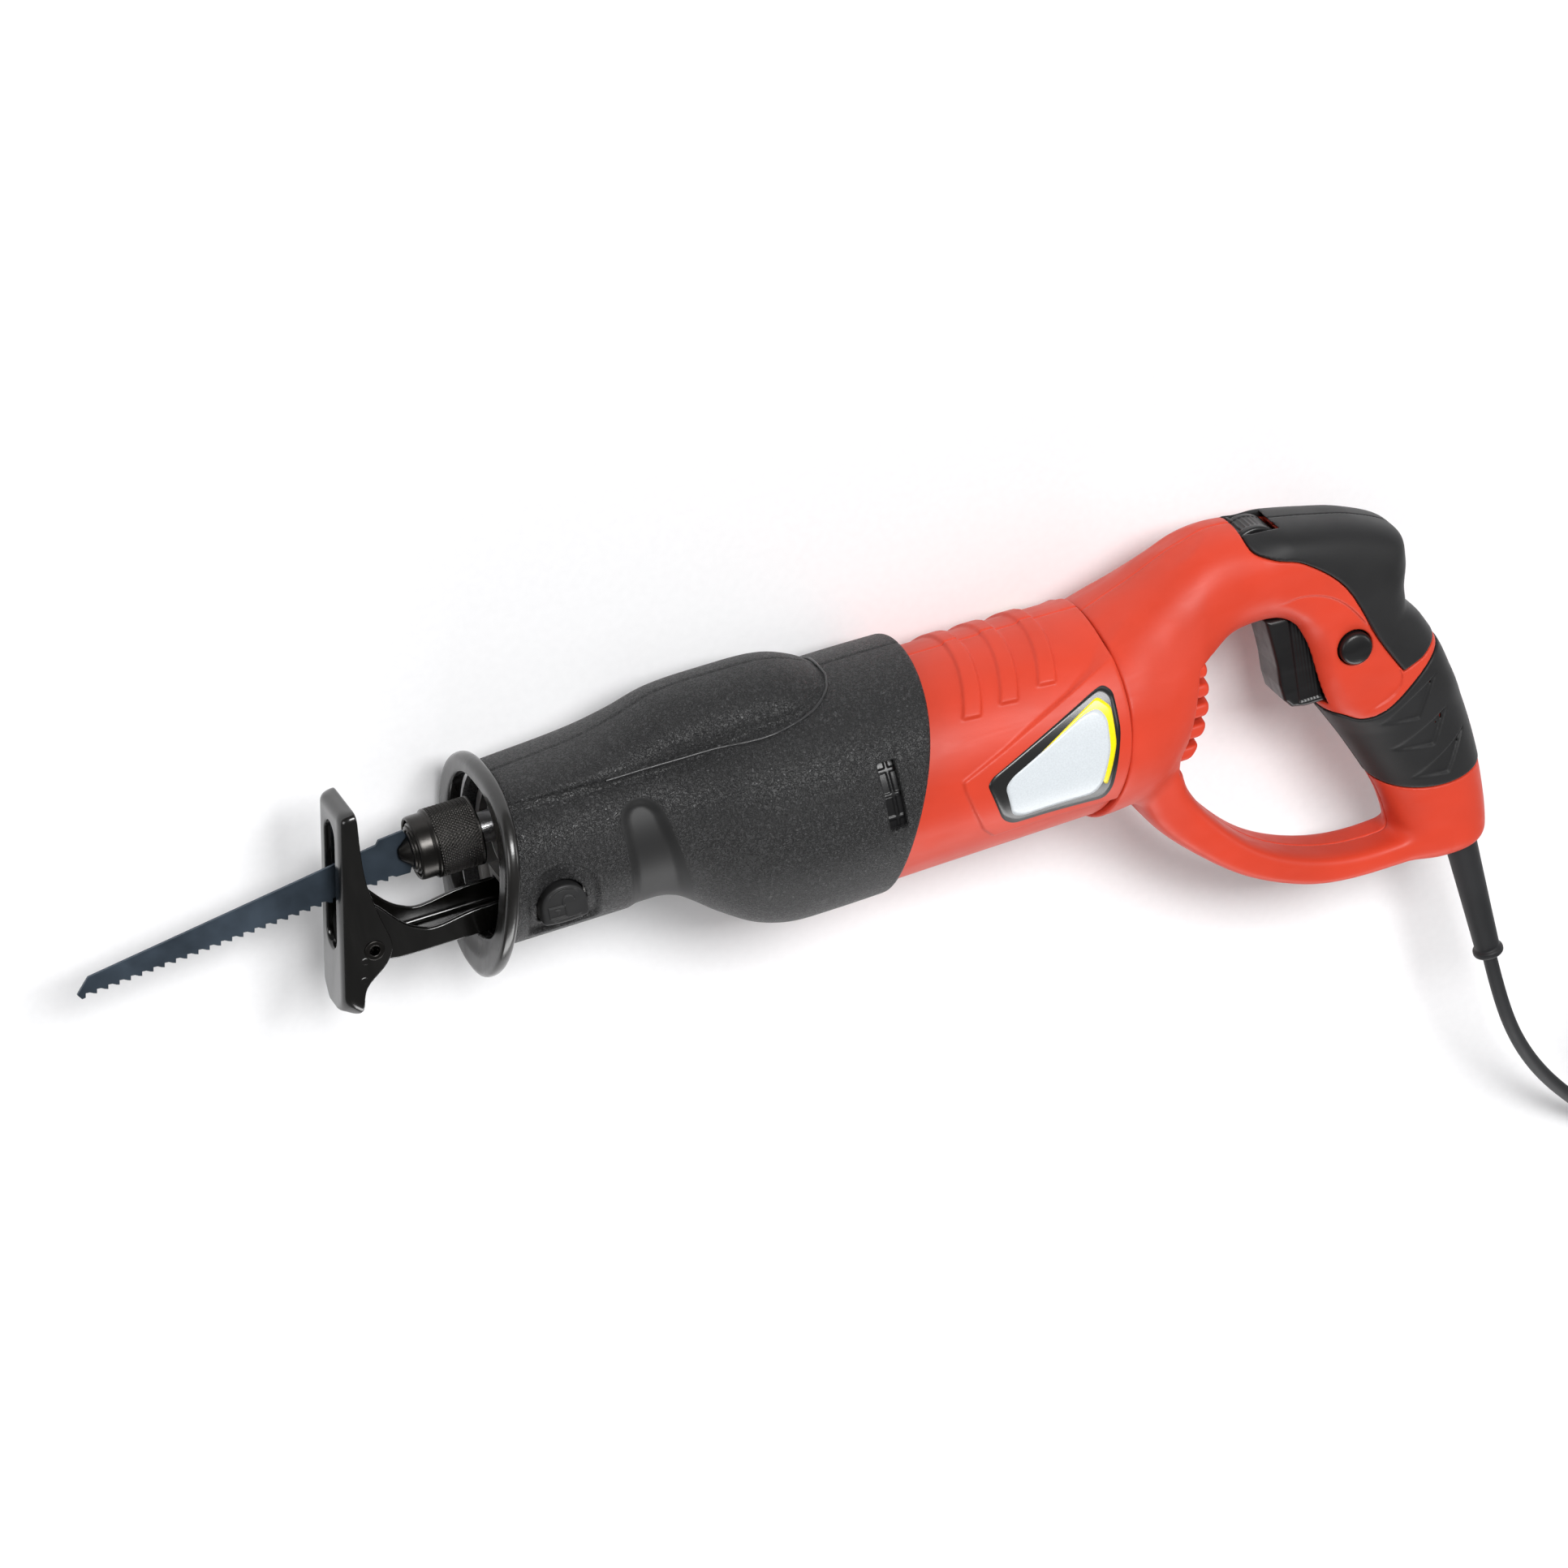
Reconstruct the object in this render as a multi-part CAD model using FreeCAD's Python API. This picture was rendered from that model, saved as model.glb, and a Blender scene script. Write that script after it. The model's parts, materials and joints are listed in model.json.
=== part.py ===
import FreeCAD, Part
import math
import os

# Corded reciprocating saw lying on its right side, in millimetres.
# Working frame while modelling: X runs back along the tool from the nose, Y is the tool's top side,
# Z is lateral, positive to the tool's left. Z = 0 is the tool's middle plane, and Y = 0 passes through
# the nose. Every piece is moved by SHIFT when it is written, so that the finished frame has +Z up,
# the surface it lies on at Z = 0, and the origin under the middle of the tool.
V = FreeCAD.Vector

# ---- driving dimensions ----
MOTOR_Y = -6.5            # armature axis above the working origin
PLUNGER_Y = 19.0          # plunger axis
MOTOR_R = 42.5            # outside radius of the motor housing at its front
MOTOR_REAR_R = 41.0       # and at the handle seam
SEAM_X = 247.0            # motor housing meets the handle
WALL = 3.0                # moulded wall
SKIN = 1.5                # soft grip skin
STROKE = 28.0             # plunger travel; modelled at the middle of it
CRANK_X = 104.0           # crank gear axis
NOSE_TILT = 0.20          # lean of the flange plane, X per Y
NOSE_Y = 3.0              # height of the flange's centre
BOOT_HALF_WIDTH = 47.0    # widest lateral half width, which sets the height of the middle plane
CORD_R = 2.9              # mains lead radius
SHOE_TILT = 0.165         # lean of the shoe's face, X per Y
SHOE_FACE_X = -61.5       # shoe face at Y = 0
SHOE_HALF = 14.5          # half width of the shoe
PIVOT = (-50.7, -9.3)     # shoe pivot
TEETH = 50                # crank gear
PINION_TEETH = 9
GEAR_R = 28.25            # mean radius of the crank gear's face teeth
PINION_R = GEAR_R * PINION_TEETH / TEETH
BLADE_T = 1.25
TOOTH_PITCH = 4.45

SHIFT = V(-120.7, 30.9, BOOT_HALF_WIDTH)
os.makedirs("parts", exist_ok=True)


# ---- helpers ----
def save(name, shape):
    """Moves a finished piece into the finished frame and writes it."""
    piece = shape.copy()
    piece.translate(SHIFT)
    piece.exportStep("parts/%s.step" % name)


def box(x0, x1, y0, y1, z0, z1):
    return Part.makeBox(x1 - x0, y1 - y0, z1 - z0, V(x0, y0, z0))


def rod_x(x0, x1, y, r, z=0.0):
    return Part.makeCylinder(r, x1 - x0, V(x0, y, z), V(1, 0, 0))


def rod_y(y0, y1, x, r, z=0.0):
    return Part.makeCylinder(r, y1 - y0, V(x, y0, z), V(0, 1, 0))


def rod_z(z0, z1, x, y, r):
    return Part.makeCylinder(r, z1 - z0, V(x, y, z0), V(0, 0, 1))


def ring_x(x0, x1, y, outer, inner):
    return rod_x(x0, x1, y, outer).cut(rod_x(x0 - 1, x1 + 1, y, inner))


def cone_x(x0, x1, y, r0, r1):
    return Part.makeCone(r0, r1, x1 - x0, V(x0, y, 0), V(1, 0, 0))


def prism(points, z0, z1):
    """Extrudes a side-view outline from z0 to z1."""
    corners = [V(x, y, z0) for x, y in points]
    face = Part.Face(Part.makePolygon(corners + corners[:1]))
    return face.extrude(V(0, 0, z1 - z0))


def power(value, exponent):
    return math.copysign(abs(value) ** exponent, value)


def section(x, y, angle, half, width, squareness=2.0, count=20):
    """A rounded section across a path at (x, y) that heads along angle, in degrees."""
    nx = -math.sin(math.radians(angle))
    ny = math.cos(math.radians(angle))
    points = []
    for i in range(count):
        turn = 2 * math.pi * (i + 0.5) / count
        up = half * power(math.cos(turn), 2 / squareness)
        side = width * power(math.sin(turn), 2 / squareness)
        points.append(V(x + up * nx, y + up * ny, side))
    curve = Part.BSplineCurve()
    curve.interpolate(Points=points, PeriodicFlag=True)
    return Part.Wire(curve.toShape())


def loft(stations, inset=0.0, squareness=2.0):
    """A solid through stations (x, y, angle, half height, half width), thinned by inset."""
    wires = [section(x, y, angle, half - inset, width - inset, squareness)
             for x, y, angle, half, width in stations]
    return Part.makeLoft(wires, True, True)


def union(pieces):
    return pieces[0].multiFuse(pieces[1:]).removeSplitter()


def left(shape):
    return shape.common(box(-300, 500, -200, 200, 0, 80))


def right(shape):
    return shape.common(box(-300, 500, -200, 200, -80, 0))


# ---- outer forms ----
# gear end, seen along X: (x, centre y, path angle, half height, half width)
BOOT = [(-14, 6.5, 0, 33.5, 34), (20, 6.5, 0, 33.5, 34), (50, 6.5, 0, 33.5, 34), (63, 6.0, 0, 32.5, 33.5),
        (76, 2.5, 0, 36.5, 37), (86, -0.5, 0, 40.5, 41), (100, -3.5, 0, 45, 45.5),
        (120, -4, 0, 46.6, 46.5), (150, -4, 0, 46.9, 46.8), (180, -4.2, 0, 46.3, 46.2)]
CASTING = [(-14, 6.5, 0, 30, 30.5), (20, 6.5, 0, 30, 30.5), (50, 6.5, 0, 30, 30.5), (63, 6.0, 0, 29, 30),
           (76, 2.5, 0, 33, 33.5), (86, -0.5, 0, 37, 37.5), (100, -3.5, 0, 41.5, 42),
           (120, -4.5, 0, 43, 43), (150, MOTOR_Y, 0, 42.6, 42.6), (180, MOTOR_Y, 0, 42.6, 42.6)]
HOOD = [(-14, 32, 0, 7, 21), (20, 33, 0, 8.5, 22), (45, 33, 0, 11, 22.5), (60, 33, 0, 14.5, 22.5),
        (75, 33, 0, 19, 23), (100, 33, 0, 20, 23), (122, 33, 0, 19, 22.5), (135, 32, 0, 15, 18),
        (143, 30, 0, 8, 10)]


def nose_cut(x, deep=60):
    """The half space in front of the leaning nose plane that crosses Y = NOSE_Y at x."""
    corners = [(x + NOSE_TILT * (y - NOSE_Y), y) for y in (-90, 90)]
    return prism([corners[0], corners[1], (x - deep, 90), (x - deep, -90)], -90, 90)


def boot_rear_cut():
    """The half space behind the boot's slanting rear edge."""
    edge = [(151, -60), (154, -38), (158, -8), (168, 14), (176, 30), (178, 60)]
    return prism(edge + [(230, 60), (230, -60)], -90, 90)


def make_gear_end():
    outer = loft(BOOT).fuse(loft(HOOD))
    inner = loft(CASTING)
    boot = outer.cut(inner).cut(nose_cut(1.0)).cut(boot_rear_cut())
    vent = box(145, 153, -11, 16, -60, 60)
    button_hole = smooth_rect(19, -3.5, 10, 8.5, 20, 50)
    save("front_boot", boot.cut(vent).cut(button_hole).removeSplitter())

    cavity = loft(CASTING, inset=4.0)
    shell = inner.cut(cavity)
    tunnel = rod_x(5, 78, PLUNGER_Y, 16)
    slide_guide = box(5, 52, -22, -4, -15, 15)
    crank_boss = rod_y(-46, -10, CRANK_X, 17)
    rear_wall = inner.common(box(138, 149, -60, 60, -60, 60))
    gear_floor = inner.common(box(66, 139, -13, -10, -60, 60))
    button_boss = box(8, 30, -13, 6, 14, 33)
    body = shell
    for solid in (tunnel, slide_guide, crank_boss, rear_wall, gear_floor, button_boss):
        body = body.fuse(solid.common(inner))
    body = body.cut(box(149, 200, -90, 90, -90, 90)).cut(nose_cut(6.0))
    holes = [rod_x(-20, 16, PLUNGER_Y, 15.5),            # clamp collar runs back into this
             rod_x(10, 90, PLUNGER_Y, 11),               # bush and seal seats
             box(-20, 50, -18.2, -6.8, -11.3, 11.3),     # shoe bracket slide
             rod_y(-10, 31, CRANK_X, 35.5),              # crank gear and yoke
             rod_y(-41, -12, CRANK_X, 13),               # crank bearings
             rod_y(-20, 0, CRANK_X, 8),                  # crank shaft
             rod_y(-60, -40, CRANK_X, 15),               # lid seat
             rod_x(126, 139, MOTOR_Y, 8),                # pinion
             rod_x(139.9, 150, MOTOR_Y, 14),             # armature bearing seat
             rod_x(130, 145, MOTOR_Y, 7),
             smooth_rect(19, -3.5, 9.4, 7.9, 17, 50)]    # release button guide
    for hole in holes:
        body = body.cut(hole)
    save("gear_housing", largest(body))

    lid = rod_y(-50, -40.1, CRANK_X, 14.9).common(inner)
    save("gear_housing_lid", lid)

    flange_front = -5.5
    sections = [(0.0, 1.6), (1.6, 0.0), (4.2, 0.0), (5.9, 1.4)]
    rim = leaning_loft(flange_front, sections, 39.7, 41.5, -0.15)
    hole = leaning_loft(flange_front, [(-8, 0.0), (14, 0.0)], 30.0, 32.5, -0.1, raise_by=3.5)
    save("front_flange", rim.cut(hole))


def leaning_loft(x_front, sections, half, width, flare, raise_by=0.0):
    """A plate in the leaning nose plane. Sections are (depth, inset); flare widens it to one end."""
    wires = []
    for depth, inset in sections:
        points = []
        for i in range(32):
            turn = 2 * math.pi * (i + 0.5) / 32
            up = (half - inset) * power(math.cos(turn), 2 / 2.3)
            side = (width - inset) * power(math.sin(turn), 2 / 2.3) * (1 - flare * up / half)
            y = NOSE_Y + raise_by + up
            points.append(V(x_front + depth + NOSE_TILT * (y - NOSE_Y), y, side))
        curve = Part.BSplineCurve()
        curve.interpolate(Points=points, PeriodicFlag=True)
        wires.append(Part.Wire(curve.toShape()))
    return Part.makeLoft(wires, True, True)


def smooth_rect(x, y, half_x, half_y, z0, z1, corner=5.0):
    """A D-shaped prism: rounded on top, nearly square below."""
    face = box(x - half_x, x + half_x, y - half_y, y + half_y, z0, z1)
    tall = [edge for edge in face.Edges if abs(edge.tangentAt(edge.FirstParameter).z) > 0.9]
    top = [edge for edge in tall if edge.CenterOfMass.y > y]
    low = [edge for edge in tall if edge.CenterOfMass.y < y]
    return face.makeFillet(half_y * 0.95, top).makeFillet(min(corner, 1.6), low)


# ---- plunger, clamp and blade ----
def make_plunger():
    yoke_front = CRANK_X - 10
    save("plunger_rod", rod_x(-1, yoke_front, PLUNGER_Y, 6.0))
    frame = box(yoke_front, CRANK_X + 10, 11.8, 26.5, -24, 24)
    slot = box(CRANK_X - 6.3, CRANK_X + 6.3, 5, 30, -20.5, 20.5)
    save("yoke", frame.cut(slot))

    bush = ring_x(21, 39, PLUNGER_Y, 11, 6.05)
    rear_bush = ring_x(60, 78, PLUNGER_Y, 11, 6.05)
    save("plunger_bushes", Part.makeCompound([bush, rear_bush]))
    save("plunger_seal", ring_x(16.4, 20.6, PLUNGER_Y, 10.95, 6.3))

    body = union([rod_x(-24, -1, PLUNGER_Y, 9.0), rod_x(-24, -22, PLUNGER_Y, 10.95),
                  rod_x(-4, -1, PLUNGER_Y, 10.95), rod_x(-25.5, -24, PLUNGER_Y, 8.6),
                  rod_x(-27, -25.5, PLUNGER_Y, 7.4), cone_x(-31.5, -27, PLUNGER_Y, 3.4, 6.6)])
    blade_slot = box(-40, -9, PLUNGER_Y - 6.6, PLUNGER_Y + 6.6, -0.7, 0.7)
    nose_slot = box(-40, -26.9, PLUNGER_Y - 12, PLUNGER_Y + 12, -0.7, 0.7)
    pin_hole = rod_z(-7.5, 7.5, -17, PLUNGER_Y, 1.5)
    save("blade_clamp_body", body.cut(blade_slot).cut(nose_slot).cut(pin_hole))
    save("clamp_pin", rod_z(-7.4, 7.4, -17, PLUNGER_Y, 1.48))

    collar = union([ring_x(-26, -19.6, PLUNGER_Y, 12.2, 11.0), ring_x(-19.6, -1, PLUNGER_Y, 13.3, 11.0)])
    save("clamp_collar", collar)

    coil = Part.makeHelix(2.4, 12.0, 10.0)
    coil.rotate(V(0, 0, 0), V(0, 1, 0), 90)
    coil.translate(V(-19, PLUNGER_Y, 0))
    start = coil.Edges[0].valueAt(coil.Edges[0].FirstParameter)
    heading = coil.Edges[0].tangentAt(coil.Edges[0].FirstParameter)
    wire_section = Part.Wire(Part.makeCircle(0.6, start, heading))
    save("clamp_spring", Part.Wire(coil.Edges).makePipeShell([wire_section], True, True))


def blade_outline():
    """The blade seen from the side: tapering back edge, raked teeth, shank and its shoulder."""
    tip_x, root_x = -157.5, -28.5
    count = int((root_x - tip_x) / TOOTH_PITCH)

    def tooth_line(x):
        return 0.3 + (x - tip_x) * 0.0755

    points = [(-160.3, 2.2), (-158.9, 0.1)]
    for i in range(count):
        tip = tip_x + i * TOOTH_PITCH
        low = tooth_line(tip)
        points += [(tip, low), (tip + 0.35, low + 1.75), (tip + 1.9, low + 1.6), (tip + 3.3, low + 0.75)]
    points += [(root_x, tooth_line(root_x)), (-27.2, 12.9), (-10, 12.9), (-10, 25.1), (-27.2, 25.1),
               (-28.2, 27.6), (-38.0, 26.7), (-39.3, 25.0), (-155.0, 8.0)]
    return points


def make_blade():
    blade = prism(blade_outline(), -BLADE_T / 2, BLADE_T / 2)
    save("blade", blade.cut(rod_z(-3, 3, -17, PLUNGER_Y, 1.6)))


# ---- shoe ----
def shoe_face_x(y, behind=0.0):
    return SHOE_FACE_X + SHOE_TILT * y + behind


def make_shoe():
    front = [(shoe_face_x(y), y) for y in (-27.5, 47.0)]
    tail = [(-64.6, -33.8), (-61.0, -34.6), (-58.8, -31.0)]
    back = [(-56.5, -24.5), (-51.5, -18.6), (-46.4, -14.6), (-44.0, -9.5), (-45.0, -2.5),
            (-48.0, 4.5), (-50.3, 13.0), (-49.6, 28.0), (-47.6, 42.5), (-47.6, 47.0)]
    outline = [front[1], front[0]] + tail + back
    skirt = prism(outline, -SHOE_HALF, SHOE_HALF)
    edges = [e for e in skirt.Edges if abs(e.CenterOfMass.z) > SHOE_HALF - 0.1
             and e.CenterOfMass.x < -54 and e.Length > 30]
    skirt = skirt.makeFillet(2.0, edges)
    inner = [(shoe_face_x(44.5, 2.5), 44.5), (shoe_face_x(-29.5, 3.2), -29.5), (-40, -29.5), (-40, 44.5)]
    skirt = skirt.cut(prism(inner, -SHOE_HALF + 2.2, SHOE_HALF - 2.2))
    slot = union([box(-80, -50, -4, 34, -6.2, 6.2), rod_x(-80, -50, -4, 6.2), rod_x(-80, -50, 34, 6.2)])
    skirt = skirt.cut(slot).cut(rod_z(-20, 20, PIVOT[0], PIVOT[1], 3.05))
    save("shoe_plate", skirt)
    pin = rod_z(-14.9, 14.9, PIVOT[0], PIVOT[1], 3.0)
    save("shoe_pivot_pin", pin.cut(rod_z(12.4, 16, PIVOT[0], PIVOT[1], 1.9)))


def make_bracket():
    """A pressed channel: two side arms with a dipped top edge, joined underneath."""
    top = [(-54.0, -3.4), (-48.5, -1.5), (-41.0, -1.9), (-36.5, -4.6), (-32.0, -7.4), (-26.0, -9.2),
           (-17.0, -8.4), (-8.0, -7.2), (46.0, -7.2)]
    bottom = [(46.0, -17.8), (-12.0, -17.8), (-28.0, -18.2), (-44.0, -17.0), (-51.0, -14.6),
              (-55.5, -11.0), (-56.0, -6.5)]
    channel = prism(top + bottom, -11.0, 11.0)
    hollow = prism([(-70, 10), (44, 10), (44, -15.6), (-28, -16.0), (-42, -14.0), (-42, -40), (-70, -40)],
                   -8.8, 8.8)
    channel = channel.cut(hollow).cut(rod_z(-20, 20, PIVOT[0], PIVOT[1], 3.0))
    save("shoe_bracket", channel)

    button = smooth_rect(19, -3.5, 9.1, 7.6, 22, 35.2)
    edge = [e for e in button.Edges if e.CenterOfMass.z > 35.1]
    save("shoe_release_button", button.makeFillet(1.2, edge))


# ---- crank ----
def make_crank():
    disc = rod_y(0, 8, CRANK_X, 32.2).cut(rod_y(-1, 9, CRANK_X, 4.97))
    teeth = []
    for i in range(TEETH):
        tooth = box(CRANK_X + 24.5, CRANK_X + 32.0, -2.2, 0.2, -0.45, 0.45)
        tooth.rotate(V(CRANK_X, 0, 0), V(0, 1, 0), (i + 0.5) * 360 / TEETH)
        teeth.append(tooth)
    save("crank_gear", disc.multiFuse(teeth))
    save("crank_shaft", rod_y(-39.5, 8, CRANK_X, 4.97))
    save("crank_pin", rod_y(8, 11.2, CRANK_X, 6.0, z=STROKE / 2))
    ring = rod_y(-8, 0, CRANK_X, 23.2).cut(rod_y(-9, 1, CRANK_X, 9))
    save("counterweight", ring.common(box(60, 150, -10, 2, -30, -3)))
    bearings = [rod_y(y, y + 8, CRANK_X, 13).cut(rod_y(y - 1, y + 9, CRANK_X, 5.0)) for y in (-38, -20)]
    save("crank_bearings", Part.makeCompound(bearings))


# ---- motor ----
def make_motor():
    save("armature_shaft", rod_x(136.2, 262, MOTOR_Y, 4.97))
    root_r = 3.9
    pinion = rod_x(128.4, 136.2, MOTOR_Y, root_r)
    teeth = []
    for i in range(PINION_TEETH):
        tooth = box(128.4, 136.2, MOTOR_Y + 3.0, MOTOR_Y + PINION_R + 0.7, -0.45, 0.45)
        tooth.rotate(V(0, MOTOR_Y, 0), V(1, 0, 0), i * 360 / PINION_TEETH)
        teeth.append(tooth)
    save("pinion", pinion.multiFuse(teeth))

    hub = ring_x(151, 163, MOTOR_Y, 9, 4.97)
    disc = ring_x(151, 153, MOTOR_Y, 35, 8.5)
    blades = []
    for i in range(11):
        vane = box(152.5, 163, MOTOR_Y + 14, MOTOR_Y + 35, -0.9, 0.9)
        vane.rotate(V(0, MOTOR_Y, 0), V(1, 0, 0), i * 360 / 11)
        blades.append(vane)
    save("cooling_fan", hub.multiFuse([disc] + blades))

    slots = [box(170, 225, MOTOR_Y + 17, MOTOR_Y + 23, -1.4, 1.4) for i in range(12)]
    core = ring_x(174, 220, MOTOR_Y, 22, 4.97)
    for i, slot in enumerate(slots):
        slot.rotate(V(0, MOTOR_Y, 0), V(1, 0, 0), i * 30)
        core = core.cut(slot)
    save("armature_core", core)
    windings = [ring_x(167, 174, MOTOR_Y, 19, 5.5), ring_x(220, 229, MOTOR_Y, 19, 5.5)]
    save("armature_windings", Part.makeCompound(windings))
    save("commutator", ring_x(231, 246, MOTOR_Y, 13, 4.97))
    bearings = [ring_x(140, 148, MOTOR_Y, 14, 5.0), ring_x(253, 261, MOTOR_Y, 13, 5.0)]
    save("armature_bearings", Part.makeCompound(bearings))

    field = ring_x(173, 221, MOTOR_Y, 39.3, 22.6)
    for side in (-1, 1):
        field = field.cut(box(170, 225, MOTOR_Y - 16, MOTOR_Y + 16, side * 29.5 - 4.2, side * 29.5 + 4.2))
    save("field_core", field)
    coils = []
    for side in (-1, 1):
        loop = box(167, 227, MOTOR_Y - 15.8, MOTOR_Y + 15.8, side * 29.5 - 4, side * 29.5 + 4)
        gap = box(174, 220, MOTOR_Y - 9, MOTOR_Y + 9, side * 29.5 - 8, side * 29.5 + 8)
        coils.append(loop.cut(gap))
    save("field_coils", Part.makeCompound(coils))
    save("fan_baffle", ring_x(164.2, 166.5, MOTOR_Y, 39.5, 27))

    holders = []
    brushes = []
    springs = []
    for side in (-1, 1):
        low, high = sorted((side * 15, side * 33))
        holder = box(234, 244, MOTOR_Y - 6, MOTOR_Y + 6, low, high)
        low, high = sorted((side * 13.3, side * 26))
        brush = box(236, 242, MOTOR_Y - 4, MOTOR_Y + 4, low, high)
        low, high = sorted((side * 26, side * 32))
        springs.append(rod_z(low, high, 239, MOTOR_Y, 2.8))
        holders.append(holder.cut(box(235.95, 242.05, MOTOR_Y - 4.05, MOTOR_Y + 4.05, -32, 32)))
        brushes.append(brush)
    save("brush_holders", Part.makeCompound(holders))
    save("carbon_brushes", Part.makeCompound(brushes))
    save("brush_springs", Part.makeCompound(springs))

    bracket = union([ring_x(251.5, 262.5, MOTOR_Y, 16, 13), box(253, 257, -40, 27, -4, 4),
                     box(253, 257, MOTOR_Y - 4, MOTOR_Y + 4, -35, 35)])
    save("rear_bearing_bracket", bracket.cut(rod_x(240, 280, MOTOR_Y, 13)))

    outside = cone_x(150, SEAM_X, MOTOR_Y, MOTOR_R, MOTOR_REAR_R)
    inside = cone_x(149, SEAM_X + 1, MOTOR_Y, MOTOR_R - WALL, MOTOR_REAR_R - 1.4)
    housing = outside.cut(inside)
    vents = box(151, 158, -11, 16, -60, 60)
    housing = housing.cut(vents)
    save("motor_housing_left", left(housing))
    save("motor_housing_right", right(housing))

    plate = [(241.9, 17.3), (243.4, 2), (243, -14), (235, -26.3), (191, -26.3), (186.7, -5.6)]
    skin = cone_x(150, SEAM_X, MOTOR_Y, MOTOR_R + 0.5, MOTOR_REAR_R + 0.5).cut(outside)
    labels = [skin.common(prism(plate, 5, 60)), skin.common(prism(plate, -60, -5))]
    save("side_labels", Part.makeCompound(labels))


# ---- handle ----
# the grip arch as chords from its outer to its inner side: (outer x, y, inner x, y, half width)
CHORDS = [(247, 34.5, 247, -47.5, 41), (258, 38.3, 257, -46.8, 39.5), (270, 42.3, 268, -40.5, 35),
          (282, 46.2, 280, -26, 29), (293, 49.3, 288, -5, 24.5), (304, 50.7, 300, 6.3, 21.8),
          (322, 49.3, 322, 8.5, 20.6), (345, 44, 334, 3, 20.5), (362, 37.5, 335, -1.5, 20.5),
          (375.5, 26, 337.5, -6, 20.3), (379.5, 12, 340, -10, 20), (378, -2, 342.5, -13.5, 19.5),
          (388.5, -22, 340.5, -34, 18.5), (396, -47, 347.5, -57, 17.5), (400.7, -77, 357.5, -82, 17.2),
          (401.5, -97, 360.5, -98, 17.5), (399, -113, 363.5, -113, 14)]
GUARD = [(262, -36, -58, 12, 22), (268, -55, -54, 10, 17.5), (281, -73, -45, 8, 14.5),
         (300, -90.5, -33, 6.4, 14), (325, -102, -17, 6, 14), (350, -105.7, -3, 6, 14),
         (376, -104.5, 3, 6.5, 14)]
UPPER_GRIP = [(313.5, 60), (313.5, 50), (315, 43), (317, 40), (320, 38.3), (330, 35), (340, 28.6),
              (347.5, 21), (354.4, 11), (360.6, -2), (365.7, -14.5), (371, -26), (377, -23.5),
              (386, -20), (400, -15), (400, 60)]
LOWER_GRIP = [(330, -48), (343, -44.5), (346, -41.5), (352, -39.5), (361.7, -37.4), (373, -33),
              (382.8, -27), (388.5, -22), (402, -17), (410, -83), (398, -82), (386, -80.3),
              (375, -79), (366, -78.6), (361, -80.5), (350, -86)]
SCREWS = [(270, 30), (264, -31), (303, 17), (330, 18), (352, -35.4), (383, -95), (300, -90.5)]
DIAL = (318.5, 37.0)
DIAL_R = 11.0
DIAL_HALF = 7.8            # half its thickness
DIAL_AXLE_R = 1.5
DIAL_AXLE_HALF = 14.5
SCREW_HEAD_Z = -12.0      # seat of the housing screws' heads, on the right side
LOCK = (349.2, -8.7)
RELIEF_TOP = (389.2, -106.0)
RELIEF_END = (396.6, -168.4)


def relief_axis():
    """Direction of the strain relief, out of the handle."""
    return V(RELIEF_END[0] - RELIEF_TOP[0], RELIEF_END[1] - RELIEF_TOP[1], 0).normalize()


def handle_form(inset=0.0):
    stations = []
    for x0, y0, x1, y1, width in CHORDS:
        angle = math.degrees(math.atan2(y0 - y1, x0 - x1)) - 90
        stations.append(((x0 + x1) / 2, (y0 + y1) / 2, angle, math.hypot(x0 - x1, y0 - y1) / 2, width))
    return loft(stations, inset, 2.2)


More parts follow.
